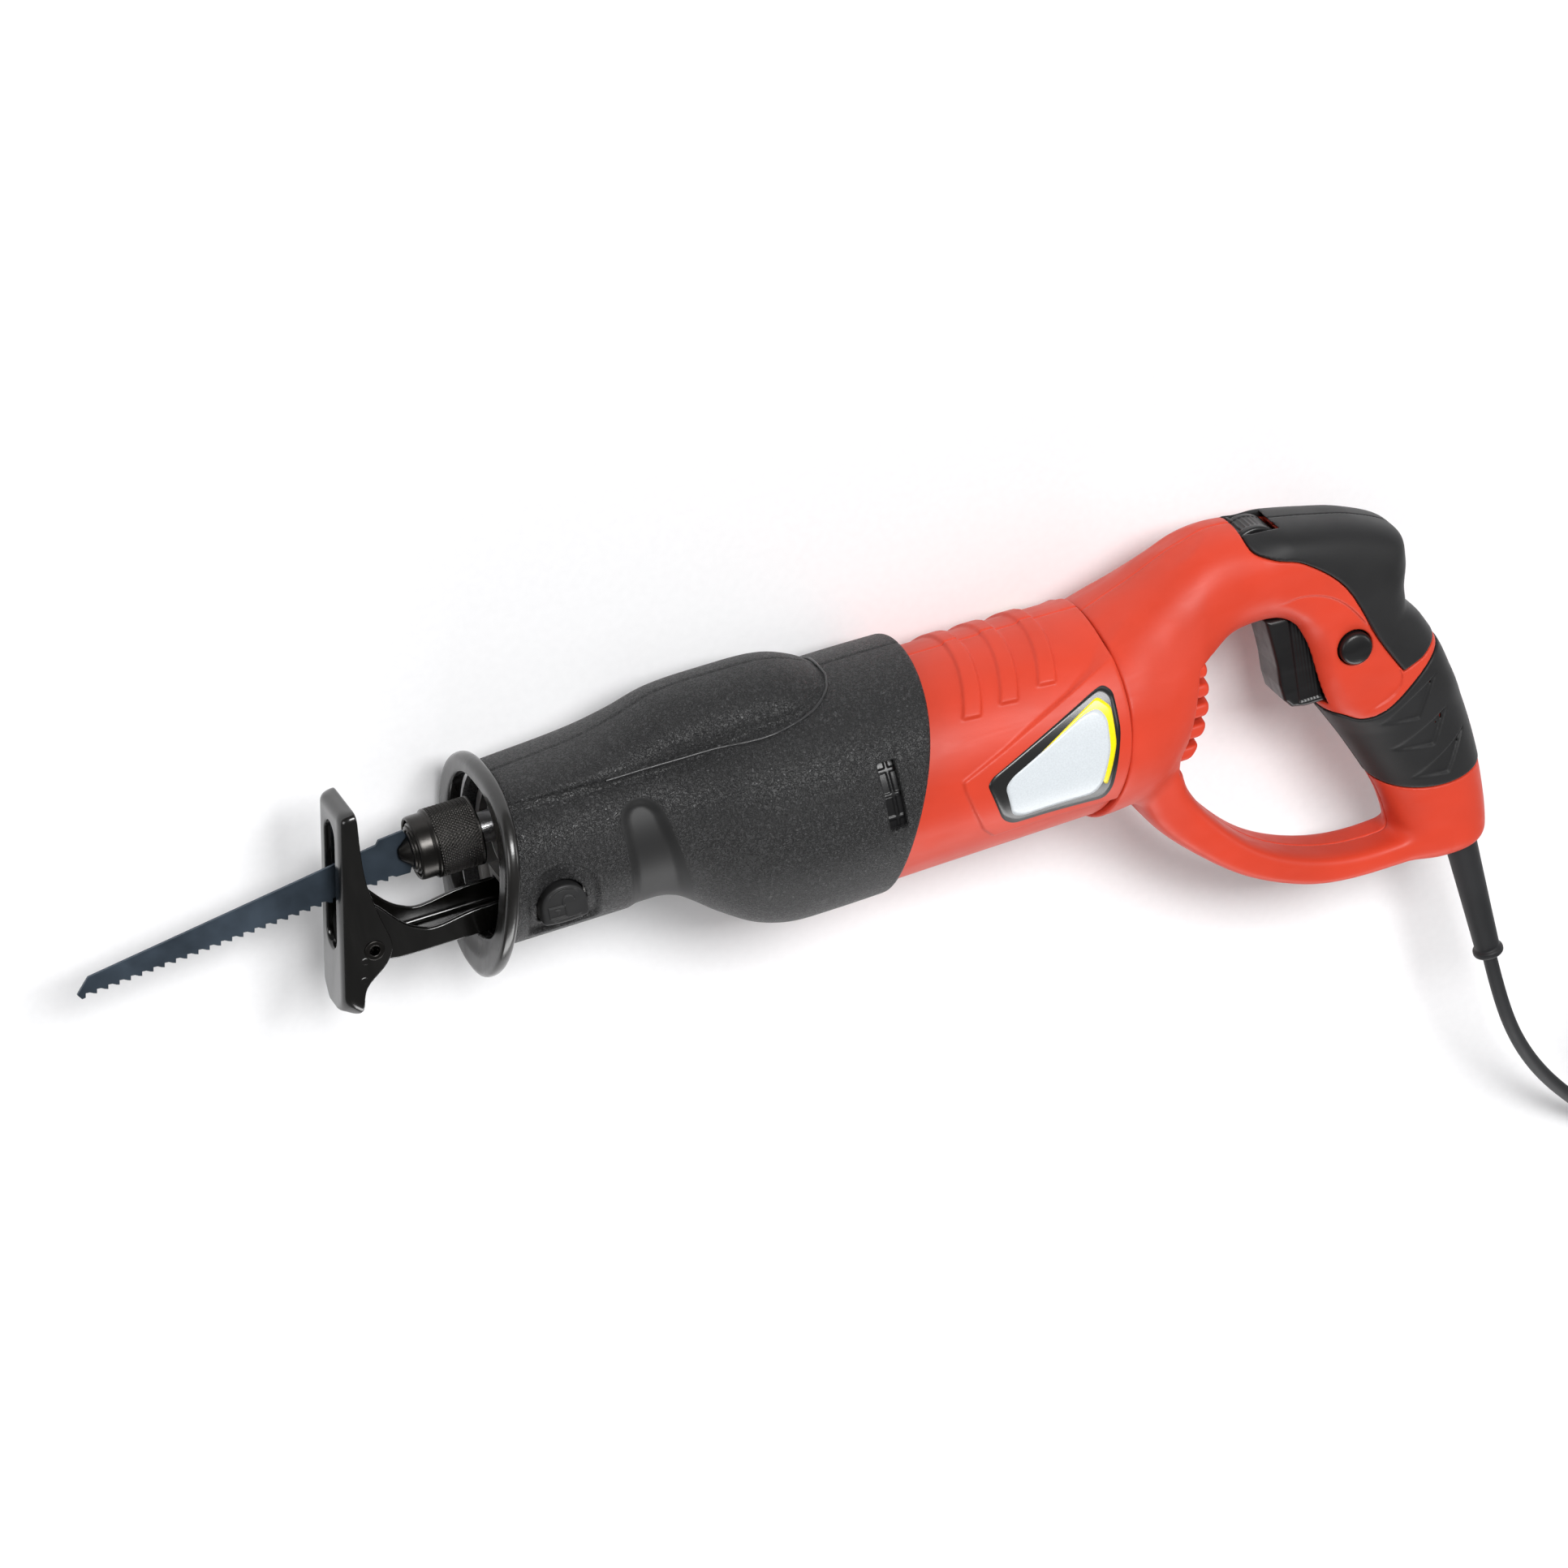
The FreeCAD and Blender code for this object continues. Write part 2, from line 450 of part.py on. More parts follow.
def make_handle():
    arch = handle_form()
    under_skin = handle_form(SKIN)
    whole = arch.fuse(loft(GUARD, 0.0, 3.0))
    upper = arch.common(prism(UPPER_GRIP, -60, 60)).cut(under_skin)
    lower = arch.common(prism(LOWER_GRIP, -60, 60)).cut(under_skin)
    dial_slot = rod_z(-DIAL_HALF - 0.5, DIAL_HALF + 0.5, DIAL[0], DIAL[1], DIAL_R + 0.3)
    upper = upper.cut(dial_slot)
    hollow = handle_form(WALL + SKIN).cut(box(355, 420, -130, -88, -40, 40))
    shell = whole.cut(hollow).cut(upper).cut(lower)
    shell = shell.cut(rod_x(240, 262, MOTOR_Y, 38))

    bosses = [rod_z(-26, 26, x, y, 4.2) for x, y in SCREWS if (x, y) != (300, -90.5)]
    boss_block = Part.makeCompound(bosses).common(hollow)
    shell = shell.fuse(boss_block)
    holes = [dial_slot,
             rod_z(5, 40, LOCK[0], LOCK[1], 7.3),                           # lock button
             box(318, 345, -29.6, 7.6, -11.4, 11.4),                        # trigger mouth
             Part.makeCylinder(7.0, 75, V(*RELIEF_END, 0), relief_axis() * -1),   # cord outlet
             rod_z(-DIAL_AXLE_HALF - 0.1, DIAL_AXLE_HALF + 0.1, DIAL[0], DIAL[1], DIAL_AXLE_R),
             rod_x(245, 262.6, MOTOR_Y, 16.1),
             box(252.9, 257.1, -40.1, 27.1, -4.1, 4.1),
             box(252.9, 257.1, MOTOR_Y - 4.1, MOTOR_Y + 4.1, -35.1, 35.1)]
    for i in range(5):
        y = 3.5 - 8.0 * i
        holes.append(box(262, 292, y - 1.5, y + 1.5, -15, 15))
    for x, y in SCREWS:
        holes.append(rod_z(-60, 8, x, y, 2.1))
        holes.append(rod_z(-60, SCREW_HEAD_Z, x, y, 3.9))
    for hole in holes:
        shell = shell.cut(hole)
    shell = shell.cut(switch_space())
    save("handle_left", largest(left(shell)))
    save("handle_right", largest(right(shell)))
    save("upper_grip_left", largest(left(upper)))
    save("upper_grip_right", largest(right(upper)))
    save("lower_grip_left", largest(left(lower)))
    save("lower_grip_right", largest(right(lower)))

    seat = SCREW_HEAD_Z - 0.02
    screws = [rod_z(seat - 3.2, seat, x, y, 3.6).fuse(rod_z(seat, 7.8, x, y, 2.0)) for x, y in SCREWS]
    save("housing_screws", Part.makeCompound(screws))


def largest(shape):
    """The biggest solid of a cut, without stray crumbs."""
    return max(shape.Solids, key=lambda solid: solid.Volume)


def switch_space():
    return box(339.5, 363.5, -31.2, 2.2, -10.2, 10.2)


def make_controls():
    body = box(344, 363, -31, 2, -10, 8)
    save("switch_body", body)
    profile = [(317.5, 6.4), (319.6, -6), (320.8, -16), (321.6, -23.5), (324.4, -28.2), (333, -29.3),
               (337.4, -29.3), (337.4, 7.2), (326, 7.2)]
    trigger = prism(profile, -11, 11)
    edges = [e for e in trigger.Edges if abs(e.CenterOfMass.z) > 10.9 and e.CenterOfMass.x < 323
             and e.Length > 4]
    save("trigger", trigger.makeFillet(2.4, edges))

    stem = rod_z(11.4, 18.0, LOCK[0], LOCK[1], 5.0)
    cap = rod_z(17.0, 21.0, LOCK[0], LOCK[1], 6.9)
    rim = [e for e in cap.Edges if e.CenterOfMass.z > 20.9]
    save("lock_button", cap.makeFillet(2.2, rim).fuse(stem))

    wheel = rod_z(-DIAL_HALF, DIAL_HALF, DIAL[0], DIAL[1], DIAL_R)
    grooves = []
    for i in range(24):
        groove = rod_z(-9, 9, DIAL[0] + DIAL_R + 0.3, DIAL[1], 0.8)
        groove.rotate(V(DIAL[0], DIAL[1], 0), V(0, 0, 1), i * 15)
        grooves.append(groove)
    wheel = wheel.cut(Part.makeCompound(grooves)).cut(rod_z(-9, 9, DIAL[0], DIAL[1], DIAL_AXLE_R + 0.05))
    save("speed_dial", wheel)
    module = box(294, 306, 23.5, 39, -9, 9).cut(box(301, 309, 33, 45, -20, 20))
    pin = rod_z(-DIAL_AXLE_HALF, DIAL_AXLE_HALF, DIAL[0], DIAL[1], DIAL_AXLE_R)
    save("speed_control_module", module)
    save("dial_axle", pin)
    save("capacitor", box(264, 275, 6, 22, -7, 7))
    clamp = box(372, 392, -86, -79, -8, 8).cut(rod_y(-90, -70, 385.6, 3.0))
    save("cord_clamp", clamp)


# ---- mains lead ----
COIL_CENTRE = (507.0, -264.0)
COIL_MEAN_R = 33.5
COIL_ROWS = 4
COIL_LAYERS = 3
FLOOR = -BOOT_HALF_WIDTH
TIE = 1.2
ROUTE = [(396.6, -168.4, 0.0), (398.9, -188.5, -0.4), (405.5, -212.5, -5.0), (418.5, -238.0, -15.5),
         (437.0, -264.0, -28.5), (456.5, -285.5, -38.0), (476.0, -299.5, -42.6), (494.0, -303.0, -42.9)]


def cord_path(points):
    """Straight runs joined by tangent arcs, each as large as its two runs allow."""
    pts = [V(*p) for p in points]
    edges = []
    radii = []
    here = pts[0]
    for before, corner, after in zip(pts, pts[1:], pts[2:]):
        back = (before - corner).normalize()
        ahead = (after - corner).normalize()
        half_turn = (math.pi - back.getAngle(ahead)) / 2
        reach = 0.45 * min(before.distanceToPoint(corner), after.distanceToPoint(corner))
        radius = reach / math.tan(half_turn)
        radii.append(radius)
        start = corner + back * reach
        end = corner + ahead * reach
        middle = corner + (back + ahead).normalize() * (radius / math.cos(half_turn) - radius)
        edges.append(Part.LineSegment(here, start).toShape())
        edges.append(Part.Arc(start, middle, end).toShape())
        here = end
    edges.append(Part.LineSegment(here, pts[-1]).toShape())
    return Part.Wire(edges), radii


def make_cord():
    top = V(RELIEF_TOP[0], RELIEF_TOP[1], 0)
    end = V(RELIEF_END[0], RELIEF_END[1], 0)
    length = top.distanceToPoint(end)
    heading = relief_axis()
    relief = Part.makeCone(6.9, 5.1, length, top, heading)
    bead = Part.makeCylinder(6.3, 3.0, end - heading * 3.4, heading)
    grip = Part.makeCylinder(6.9, 5.0, top - heading * 5.0, heading)
    bore = Part.makeCylinder(2.95, 20.0, top - heading * 10.0, heading)
    save("strain_relief", union([relief, bead, grip]).cut(bore))

    path, radii = cord_path(ROUTE)
    heading = (V(*ROUTE[1]) - V(*ROUTE[0])).normalize()
    ring = Part.Wire(Part.makeCircle(CORD_R, V(*ROUTE[0]), heading))
    lead = path.makePipeShell([ring], True, False)
    save("cord_lead", lead)
    print("cord radii", [round(r, 1) for r in radii])
    print("cord length", round(path.Length, 1), "volume ratio",
          round(lead.Volume / (path.Length * math.pi * CORD_R ** 2), 4))

    inner = COIL_MEAN_R - COIL_LAYERS * CORD_R
    outer = COIL_MEAN_R + COIL_LAYERS * CORD_R
    height = COIL_ROWS * 2 * CORD_R
    low = FLOOR + TIE
    coil = rod_z(low, low + height, COIL_CENTRE[0], COIL_CENTRE[1], outer)
    coil = coil.cut(rod_z(low - 1, low + height + 1, COIL_CENTRE[0], COIL_CENTRE[1], inner))
    round_edges = [e for e in coil.Edges if e.Closed]
    save("cord_coil", coil.makeFillet(CORD_R * 0.95, round_edges))

    left_x = COIL_CENTRE[0] - outer - TIE
    right_x = COIL_CENTRE[0] - inner + TIE
    band = box(left_x, right_x, COIL_CENTRE[1] - 4, COIL_CENTRE[1] + 4, FLOOR, FLOOR + height + 2 * TIE)
    gap = box(left_x + TIE - 0.02, right_x - TIE + 0.6, -400, -100, FLOOR + TIE, FLOOR + TIE + height)
    save("cord_tie", band.cut(gap))

    plug_x = COIL_CENTRE[0] + outer - CORD_R
    plug_z = FLOOR + 19.2
    sleeve_y = COIL_CENTRE[1] + 18
    sleeve = Part.makeCone(4.6, 8.0, 24, V(plug_x, sleeve_y, plug_z), V(0, 1, 0))
    waist = Part.makeCone(13.5, 18.9, 16, V(plug_x, sleeve_y + 24, plug_z), V(0, 1, 0))
    face = rod_y(sleeve_y + 40, sleeve_y + 58, plug_x, 18.9, z=plug_z)
    plug = union([sleeve, waist, face])
    pins = []
    for side in (-9.5, 9.5):
        stem = rod_y(sleeve_y + 48, sleeve_y + 58, plug_x + side, 1.9, z=plug_z)
        plug = plug.cut(stem)
        pin = rod_y(sleeve_y + 58, sleeve_y + 77, plug_x + side, 2.4, z=plug_z)
        tip = [e for e in pin.Edges if e.CenterOfMass.y > sleeve_y + 76.5]
        pins.append(pin.makeChamfer(0.6, tip).fuse(stem))
    save("plug_body", plug)
    save("plug_pins", Part.makeCompound(pins))


make_gear_end()
make_plunger()
make_blade()
make_shoe()
make_bracket()
make_crank()
make_motor()
make_handle()
make_controls()
make_cord()
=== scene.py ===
import json
import math

import bpy
import numpy as np
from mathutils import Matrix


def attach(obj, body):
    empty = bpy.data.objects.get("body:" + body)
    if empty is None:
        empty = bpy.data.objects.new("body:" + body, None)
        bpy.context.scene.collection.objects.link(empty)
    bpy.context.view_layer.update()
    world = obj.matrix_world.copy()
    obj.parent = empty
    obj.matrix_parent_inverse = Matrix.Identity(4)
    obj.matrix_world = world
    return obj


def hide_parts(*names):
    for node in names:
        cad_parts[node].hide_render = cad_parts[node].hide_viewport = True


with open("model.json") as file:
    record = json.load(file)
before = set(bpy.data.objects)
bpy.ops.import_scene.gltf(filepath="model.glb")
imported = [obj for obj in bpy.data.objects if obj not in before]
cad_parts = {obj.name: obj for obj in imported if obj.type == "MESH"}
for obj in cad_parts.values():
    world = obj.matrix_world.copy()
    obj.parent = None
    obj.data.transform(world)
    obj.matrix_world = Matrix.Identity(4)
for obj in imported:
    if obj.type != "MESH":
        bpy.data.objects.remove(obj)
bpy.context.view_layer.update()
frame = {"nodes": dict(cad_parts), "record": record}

import openvdb
from mathutils import Matrix, Vector

# The saw's casings, grips and fittings, made from distance fields sampled on a regular grid.
# They are worked out in tool millimetres: X runs back along the tool from the nose, Y is the tool's
# top side and Z is towards its left side, with the middle plane at Z = 0. ORIGIN moves them into the frame.
MM = 0.001
ORIGIN = Vector((-0.1207, 0.0309, 0.047))
MOTOR_Y = -6.5
PLUNGER_Y = 19.0
SEAM_X = 247.3
CORD_R = 2.9


def place(x, y, z):
    """A point in tool millimetres, in the frame's metres."""
    return Vector((x, y, z)) * MM + ORIGIN


# ---------------------------------------------------------------- distance fields
class Block:
    """A regular grid of sample points, in tool millimetres."""

    def __init__(self, low, high, step):
        self.low = np.array(low, np.float32)
        self.step = step
        x, y, z = [np.arange(a, b + step, step, dtype=np.float32) for a, b in zip(low, high)]
        self.x = x[:, None, None]
        self.y = y[None, :, None]
        self.z = z[None, None, :]
        self.shape = (len(x), len(y), len(z))


def soft_min(a, b, k):
    h = np.clip(0.5 + 0.5 * (b - a) / k, 0, 1)
    return b + (a - b) * h - k * h * (1 - h)


def soft_max(a, b, k):
    return -soft_min(-a, -b, k)


def join(a, b, k=0.0):
    return soft_min(a, b, k) if k else np.minimum(a, b)


def both(a, b, k=0.0):
    return soft_max(a, b, k) if k else np.maximum(a, b)


def cut(a, b, k=0.0):
    return both(a, -b, k)


def ramp(value, low, high):
    """0 below low, 1 above high, and smooth between."""
    t = np.clip((value - low) / (high - low), 0, 1)
    return t * t * (3 - 2 * t)


def box_field(g, low, high, radius=0.0):
    centre = [(a + b) / 2 for a, b in zip(low, high)]
    half = [(b - a) / 2 - radius for a, b in zip(low, high)]
    q = [np.abs(v - c) - h for v, c, h in zip((g.x, g.y, g.z), centre, half)]
    outside = np.sqrt(sum(np.maximum(v, 0) ** 2 for v in q))
    inside = np.minimum(np.maximum(np.maximum(q[0], q[1]), q[2]), 0)
    return outside + inside - radius


def rod_field(radial, along, low, high, radius, edge=0.0):
    """A rod with rounded ends, from its radial distance and its place along the axis."""
    a = radial - (radius - edge)
    b = np.abs(along - (low + high) / 2) - ((high - low) / 2 - edge)
    return np.sqrt(np.maximum(a, 0) ** 2 + np.maximum(b, 0) ** 2) + np.minimum(np.maximum(a, b), 0) - edge


def outline_field(x, y, points, radius=0.0):
    """Signed distance to a polygon, negative inside, with corners rounded to radius."""
    distance = None
    inside = None
    for (x0, y0), (x1, y1) in zip(points, points[1:] + points[:1]):
        ex, ey = x1 - x0, y1 - y0
        px, py = x - x0, y - y0
        t = np.clip((px * ex + py * ey) / (ex * ex + ey * ey), 0, 1)
        d = (px - ex * t) ** 2 + (py - ey * t) ** 2
        distance = d if distance is None else np.minimum(distance, d)
        crosses = ((y0 <= y) != (y1 <= y)) & (x < x0 + (y - y0) * ex / (ey if ey else 1e-9))
        inside = crosses if inside is None else inside ^ crosses
    return np.where(inside, -np.sqrt(distance), np.sqrt(distance)) - radius


def open_line_distance(x, y, points):
    """Distance to a line through points, in the XY plane."""
    nearest = None
    for (x0, y0), (x1, y1) in zip(points, points[1:]):
        ex, ey = x1 - x0, y1 - y0
        t = np.clip(((x - x0) * ex + (y - y0) * ey) / (ex * ex + ey * ey), 0, 1)
        d = np.hypot(x - x0 - ex * t, y - y0 - ey * t)
        nearest = d if nearest is None else np.minimum(nearest, d)
    return nearest


def curved(points, steps=5, closed=True):
    """A smooth curve through points, as a denser list."""
    p = [np.array(q, float) for q in points]
    out = []
    count = len(p)
    for i in range(count if closed else count - 1):
        near = [i + k if closed else min(max(i + k, 0), count - 1) for k in (-1, 0, 1, 2)]
        a, b, c, d = [p[k % count] for k in near]
        for s in range(steps):
            t = s / steps
            out.append(tuple(0.5 * (2 * b + (c - a) * t + (2 * a - 5 * b + 4 * c - d) * t * t
                                    + (3 * b - a - 3 * c + d) * t ** 3)))
    return out if closed else out + [tuple(p[-1])]


def smooth_line(stops, values):
    """A smooth curve through table values, as a function: cubic between stops, with no overshoot."""
    xs = np.array(stops, float)
    ys = np.array(values, float)
    slope = np.diff(ys) / np.diff(xs)
    tangent = np.concatenate([[slope[0]], (slope[1:] + slope[:-1]) / 2, [slope[-1]]])
    tangent[1:-1][slope[1:] * slope[:-1] <= 0] = 0

    def at(x):
        x = np.clip(x, xs[0], xs[-1])
        i = np.clip(np.searchsorted(xs, x, side="right") - 1, 0, len(xs) - 2)
        width = xs[i + 1] - xs[i]
        t = (x - xs[i]) / width
        a, b = ys[i], ys[i + 1]
        m0, m1 = tangent[i] * width, tangent[i + 1] * width
        return (a * (1 + 2 * t) * (1 - t) ** 2 + m0 * t * (1 - t) ** 2
                + b * t * t * (3 - 2 * t) - m1 * t * t * (1 - t)).astype(np.float32)

    return at


def oval_field(u, v, half, width, power):
    """First-order distance to a superellipse, from offsets u and v across its half sizes."""
    a = np.abs(u) / half
    b = np.abs(v) / width
    total = a ** power + b ** power + 1e-9
    q = total ** (1 / power)
    slope = np.sqrt((a ** (power - 1) / half) ** 2 + (b ** (power - 1) / width) ** 2) * q ** (1 - power)
    return (q - 1) / np.maximum(slope, 1e-3)


def sweep_field(g, stations, power):
    """A body along X through stations (x, centre y, half height, half width)."""
    xs = [s[0] for s in stations]
    centre, half, width = [smooth_line(xs, [s[i] for s in stations])(g.x) for i in (1, 2, 3)]
    return oval_field(g.y - centre, g.z, half, width, power)


class Chords:
    """Path coordinates of a curved body given as chords from its outer to its inner side."""

    def __init__(self, g, chords, fine=260):
        table = np.array(chords, float)
        middles = (table[:, 0:2] + table[:, 2:4]) / 2
        t = np.concatenate([[0], np.cumsum(np.hypot(*(np.diff(middles, axis=0).T)))])
        lines = [smooth_line(t, table[:, i]) for i in range(table.shape[1])]
        s = np.linspace(t[0], t[-1], fine)
        x0, y0, x1, y1, width = [line(s).astype(float) for line in lines]
        cx, cy = (x0 + x1) / 2, (y0 + y1) / 2
        hx, hy = (x0 - x1) / 2, (y0 - y1) / 2
        px, py = [v.ravel() for v in np.meshgrid(g.x.ravel(), g.y.ravel(), indexing="ij")]
        best = np.full(px.shape, 1e9)
        where = np.zeros(px.shape, int)
        for i in range(fine):                       # nearest chord, measured across the path
            half = math.hypot(hx[i], hy[i])
            along = ((px - cx[i]) * hx[i] + (py - cy[i]) * hy[i]) / half
            off = (px - cx[i]) * hy[i] / half - (py - cy[i]) * hx[i] / half
            d = off ** 2 + np.maximum(np.abs(along) - half * 1.05, 0) ** 2 * 4
            nearer = d < best
            best[nearer] = d[nearer]
            where[nearer] = i
        i = np.clip(where, 1, fine - 2)
        half = np.hypot(hx[i], hy[i])
        off = ((px - cx[i]) * hy[i] - (py - cy[i]) * hx[i]) / half
        n_here = ((px - cx[i]) * hx[i] + (py - cy[i]) * hy[i]) / half ** 2
        step_x = (cx[i + 1] - cx[i - 1]) / 2 + n_here * (hx[i + 1] - hx[i - 1]) / 2
        step_y = (cy[i + 1] - cy[i - 1]) / 2 + n_here * (hy[i + 1] - hy[i - 1]) / 2
        advance = (step_x * hy[i] - step_y * hx[i]) / half
        along_t = np.clip(off / np.where(np.abs(advance) < 1e-6, 1e-6, advance), -1, 1)
        blend = lambda v: v[i] + along_t * (v[i + 1] - v[i - 1]) / 2
        fx, fy = blend(hx), blend(hy)
        half = np.hypot(fx, fy)
        n = ((px - blend(cx)) * fx + (py - blend(cy)) * fy) / half
        shape = (g.shape[0], g.shape[1], 1)
        self.n = n.reshape(shape).astype(np.float32)
        self.half = half.reshape(shape).astype(np.float32)
        self.width = blend(width).reshape(shape).astype(np.float32)
        self.t = (s[i] + along_t * (s[1] - s[0])).reshape(shape).astype(np.float32)
        self.off_end = np.where(where == 0, -off, np.where(where == fine - 1, off, -99))
        self.off_end = np.abs(self.off_end.reshape(shape).astype(np.float32)) * (
            (where == 0) | (where == fine - 1)).reshape(shape)
        self.length = t[-1]

    def field(self, z, power):
        return oval_field(self.n, z, self.half, self.width, power)


# ---------------------------------------------------------------- meshes
def to_object(name, points, faces, material, body, smooth=True, replaces=()):
    mesh = bpy.data.meshes.new(name)
    mesh.vertices.add(len(points))
    mesh.vertices.foreach_set("co", np.asarray(points, np.float32).ravel())
    if isinstance(faces, list):
        counts = np.array([len(f) for f in faces])
        flat = np.concatenate([np.asarray(f) for f in faces])
    else:
        counts = np.full(len(faces), faces.shape[1])
        flat = faces.ravel()
    mesh.loops.add(len(flat))
    mesh.loops.foreach_set("vertex_index", flat.astype(np.int32))
    mesh.polygons.add(len(counts))
    mesh.polygons.foreach_set("loop_start", np.concatenate([[0], np.cumsum(counts)[:-1]]).astype(np.int32))
    mesh.update(calc_edges=True)
    mesh.validate()
    mesh.polygons.foreach_set("use_smooth", np.full(len(mesh.polygons), smooth))
    for m in (material if isinstance(material, list) else [material]):
        mesh.materials.append(m)
    obj = bpy.data.objects.new(name, mesh)
    bpy.context.scene.collection.objects.link(obj)
    return finish_piece(obj, body, replaces)


def finish_piece(obj, body, replaces=()):
    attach(obj, body)
    if replaces:
        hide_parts(*replaces)
    return obj


def field_object(name, g, field, material, body, replaces=(), relax=1):
    """The surface where a field is zero, as a closed mesh."""
    field = np.ascontiguousarray(np.broadcast_to(field, g.shape), dtype=np.float32)
    field = np.clip(field, -3 * g.step, 3 * g.step)
    grid = openvdb.FloatGrid(3 * g.step)
    grid.copyFromArray(field)
    points, quads = grid.convertToQuads(0.0)
    points = points * g.step + g.low
    quads = quads[:, ::-1]
    for _ in range(relax):
        points = even_out(points, quads, field, g)
    points = points * MM + np.array(ORIGIN)
    return to_object(name, points, quads, material, body, replaces=replaces)


def even_out(points, quads, field, g):
    """One smoothing step that keeps the points on the surface."""
    total = np.zeros_like(points)
    count = 2 * np.bincount(quads.ravel(), minlength=len(points))
    for a, b in ((0, 1), (1, 2), (2, 3), (3, 0)):
        for i, j in ((a, b), (b, a)):
            for axis in range(3):
                total[:, axis] += np.bincount(quads[:, i], points[quads[:, j], axis], len(points))
    moved = points * 0.4 + 0.6 * total / np.maximum(count, 1)[:, None]
    value, slope = sample(field, g, moved)
    size = np.maximum((slope ** 2).sum(1), 0.05)
    step = np.clip(value / size, -0.5 * g.step, 0.5 * g.step)
    return moved - slope * step[:, None]


def sample(field, g, points):
    """Value and slope of a field at points, from its eight neighbours."""
    q = (points - g.low) / g.step
    i = np.clip(np.floor(q).astype(int), 0, np.array(field.shape) - 2)
    f = np.clip(q - i, 0, 1)
    corner = {}
    for a in (0, 1):
        for b in (0, 1):
            for c in (0, 1):
                corner[a, b, c] = field[i[:, 0] + a, i[:, 1] + b, i[:, 2] + c]
    x, y, z = f.T

    def mix(values, t):
        return values[0] * (1 - t) + values[1] * t

    value = mix([mix([mix([corner[a, b, c] for c in (0, 1)], z) for b in (0, 1)], y) for a in (0, 1)], x)
    dx = mix([mix([corner[1, b, c] - corner[0, b, c] for c in (0, 1)], z) for b in (0, 1)], y)
    dy = mix([mix([corner[a, 1, c] - corner[a, 0, c] for c in (0, 1)], z) for a in (0, 1)], x)
    dz = mix([mix([corner[a, b, 1] - corner[a, b, 0] for b in (0, 1)], y) for a in (0, 1)], x)
    return value, np.stack([dx, dy, dz], 1) / g.step


def grid_object(name, points, material, body, replaces=(), around=False, caps=False, loop=False):
    """A surface through a grid of points; around closes its second direction, and loop its first."""
    rows, cols = points.shape[:2]
    index = np.arange(rows * cols).reshape(rows, cols)
    if loop:
        index = np.concatenate([index, index[:1]])
    right = np.roll(index, -1, 1) if around else index[:, 1:]
    near = index if around else index[:, :-1]
    faces = np.stack([near[:-1], right[:-1], right[1:], near[1:]], -1).reshape(-1, 4)
    flat = points.reshape(-1, 3) * MM + np.array(ORIGIN)
    faces = [f for f in faces]
    if caps:
        faces.append(index[0][::-1])
        faces.append(index[-1])
    return to_object(name, flat, faces, material, body, True, replaces)


# ---------------------------------------------------------------- materials
def material(name, base, rough, metallic=0.0, specular=0.5, coat=0.0, coat_rough=0.2):
    """A principled material and its node tree, with uniform values on the shader's own sockets."""
    m = bpy.data.materials.new(name)
    m.use_nodes = True
    nodes, links = m.node_tree.nodes, m.node_tree.links
    shader = nodes["Principled BSDF"]
    shader.inputs["Base Color"].default_value = (*base, 1)
    shader.inputs["Roughness"].default_value = rough
    shader.inputs["Metallic"].default_value = metallic
    shader.inputs["Specular IOR Level"].default_value = specular
    shader.inputs["Coat Weight"].default_value = coat
    shader.inputs["Coat Roughness"].default_value = coat_rough
    return m, nodes, links, shader


def noise(nodes, links, scale, detail=3.0, stretch=(1, 1, 1), distortion=0.0, roughness=0.5):
    """Noise over the object's own coordinates; scale is in cycles per metre."""
    where = nodes.new("ShaderNodeTexCoord")
    turn = nodes.new("ShaderNodeMapping")
    turn.inputs["Scale"].default_value = stretch
    links.new(where.outputs["Object"], turn.inputs["Vector"])
    texture = nodes.new("ShaderNodeTexNoise")
    texture.inputs["Scale"].default_value = scale
    texture.inputs["Detail"].default_value = detail
    texture.inputs["Distortion"].default_value = distortion
    texture.inputs["Roughness"].default_value = roughness
    links.new(turn.outputs["Vector"], texture.inputs["Vector"])
    return texture.outputs["Fac"]


def remap(nodes, links, value, low, high, to_low, to_high):
    node = nodes.new("ShaderNodeMapRange")
    for key, number in (("From Min", low), ("From Max", high), ("To Min", to_low), ("To Max", to_high)):
        node.inputs[key].default_value = number
    links.new(value, node.inputs["Value"])
    return node.outputs["Result"]


def arithmetic(nodes, links, operation, a, b=None):
    node = nodes.new("ShaderNodeMath")
    node.operation = operation
    for socket, value in zip(node.inputs, (a, b)):
        if value is None:
            continue
        if isinstance(value, (int, float)):
            socket.default_value = value
        else:
            links.new(value, socket)
    return node.outputs[0]


def tint(nodes, links, shader, value, stops):
    """Colours the surface by a value, through a ramp of (place, colour)."""
    node = nodes.new("ShaderNodeValToRGB")
    ramp_stops = node.color_ramp.elements
    while len(ramp_stops) < len(stops):
        ramp_stops.new(0.5)
    for stop, (position, colour) in zip(ramp_stops, stops):
        stop.position = position
        stop.color = (*colour, 1)
    links.new(value, node.inputs["Fac"])
    links.new(node.outputs["Color"], shader.inputs["Base Color"])


def bump(nodes, links, shader, height, distance, strength=1.0, under=None):
    node = nodes.new("ShaderNodeBump")
    node.inputs["Distance"].default_value = distance
    node.inputs["Strength"].default_value = strength
    links.new(height, node.inputs["Height"])
    if under is not None:
        links.new(under, node.inputs["Normal"])
    links.new(node.outputs["Normal"], shader.inputs["Normal"])
    return node.outputs["Normal"]


def shade(colour, factor):
    return tuple(min(1.0, c * factor) for c in colour)


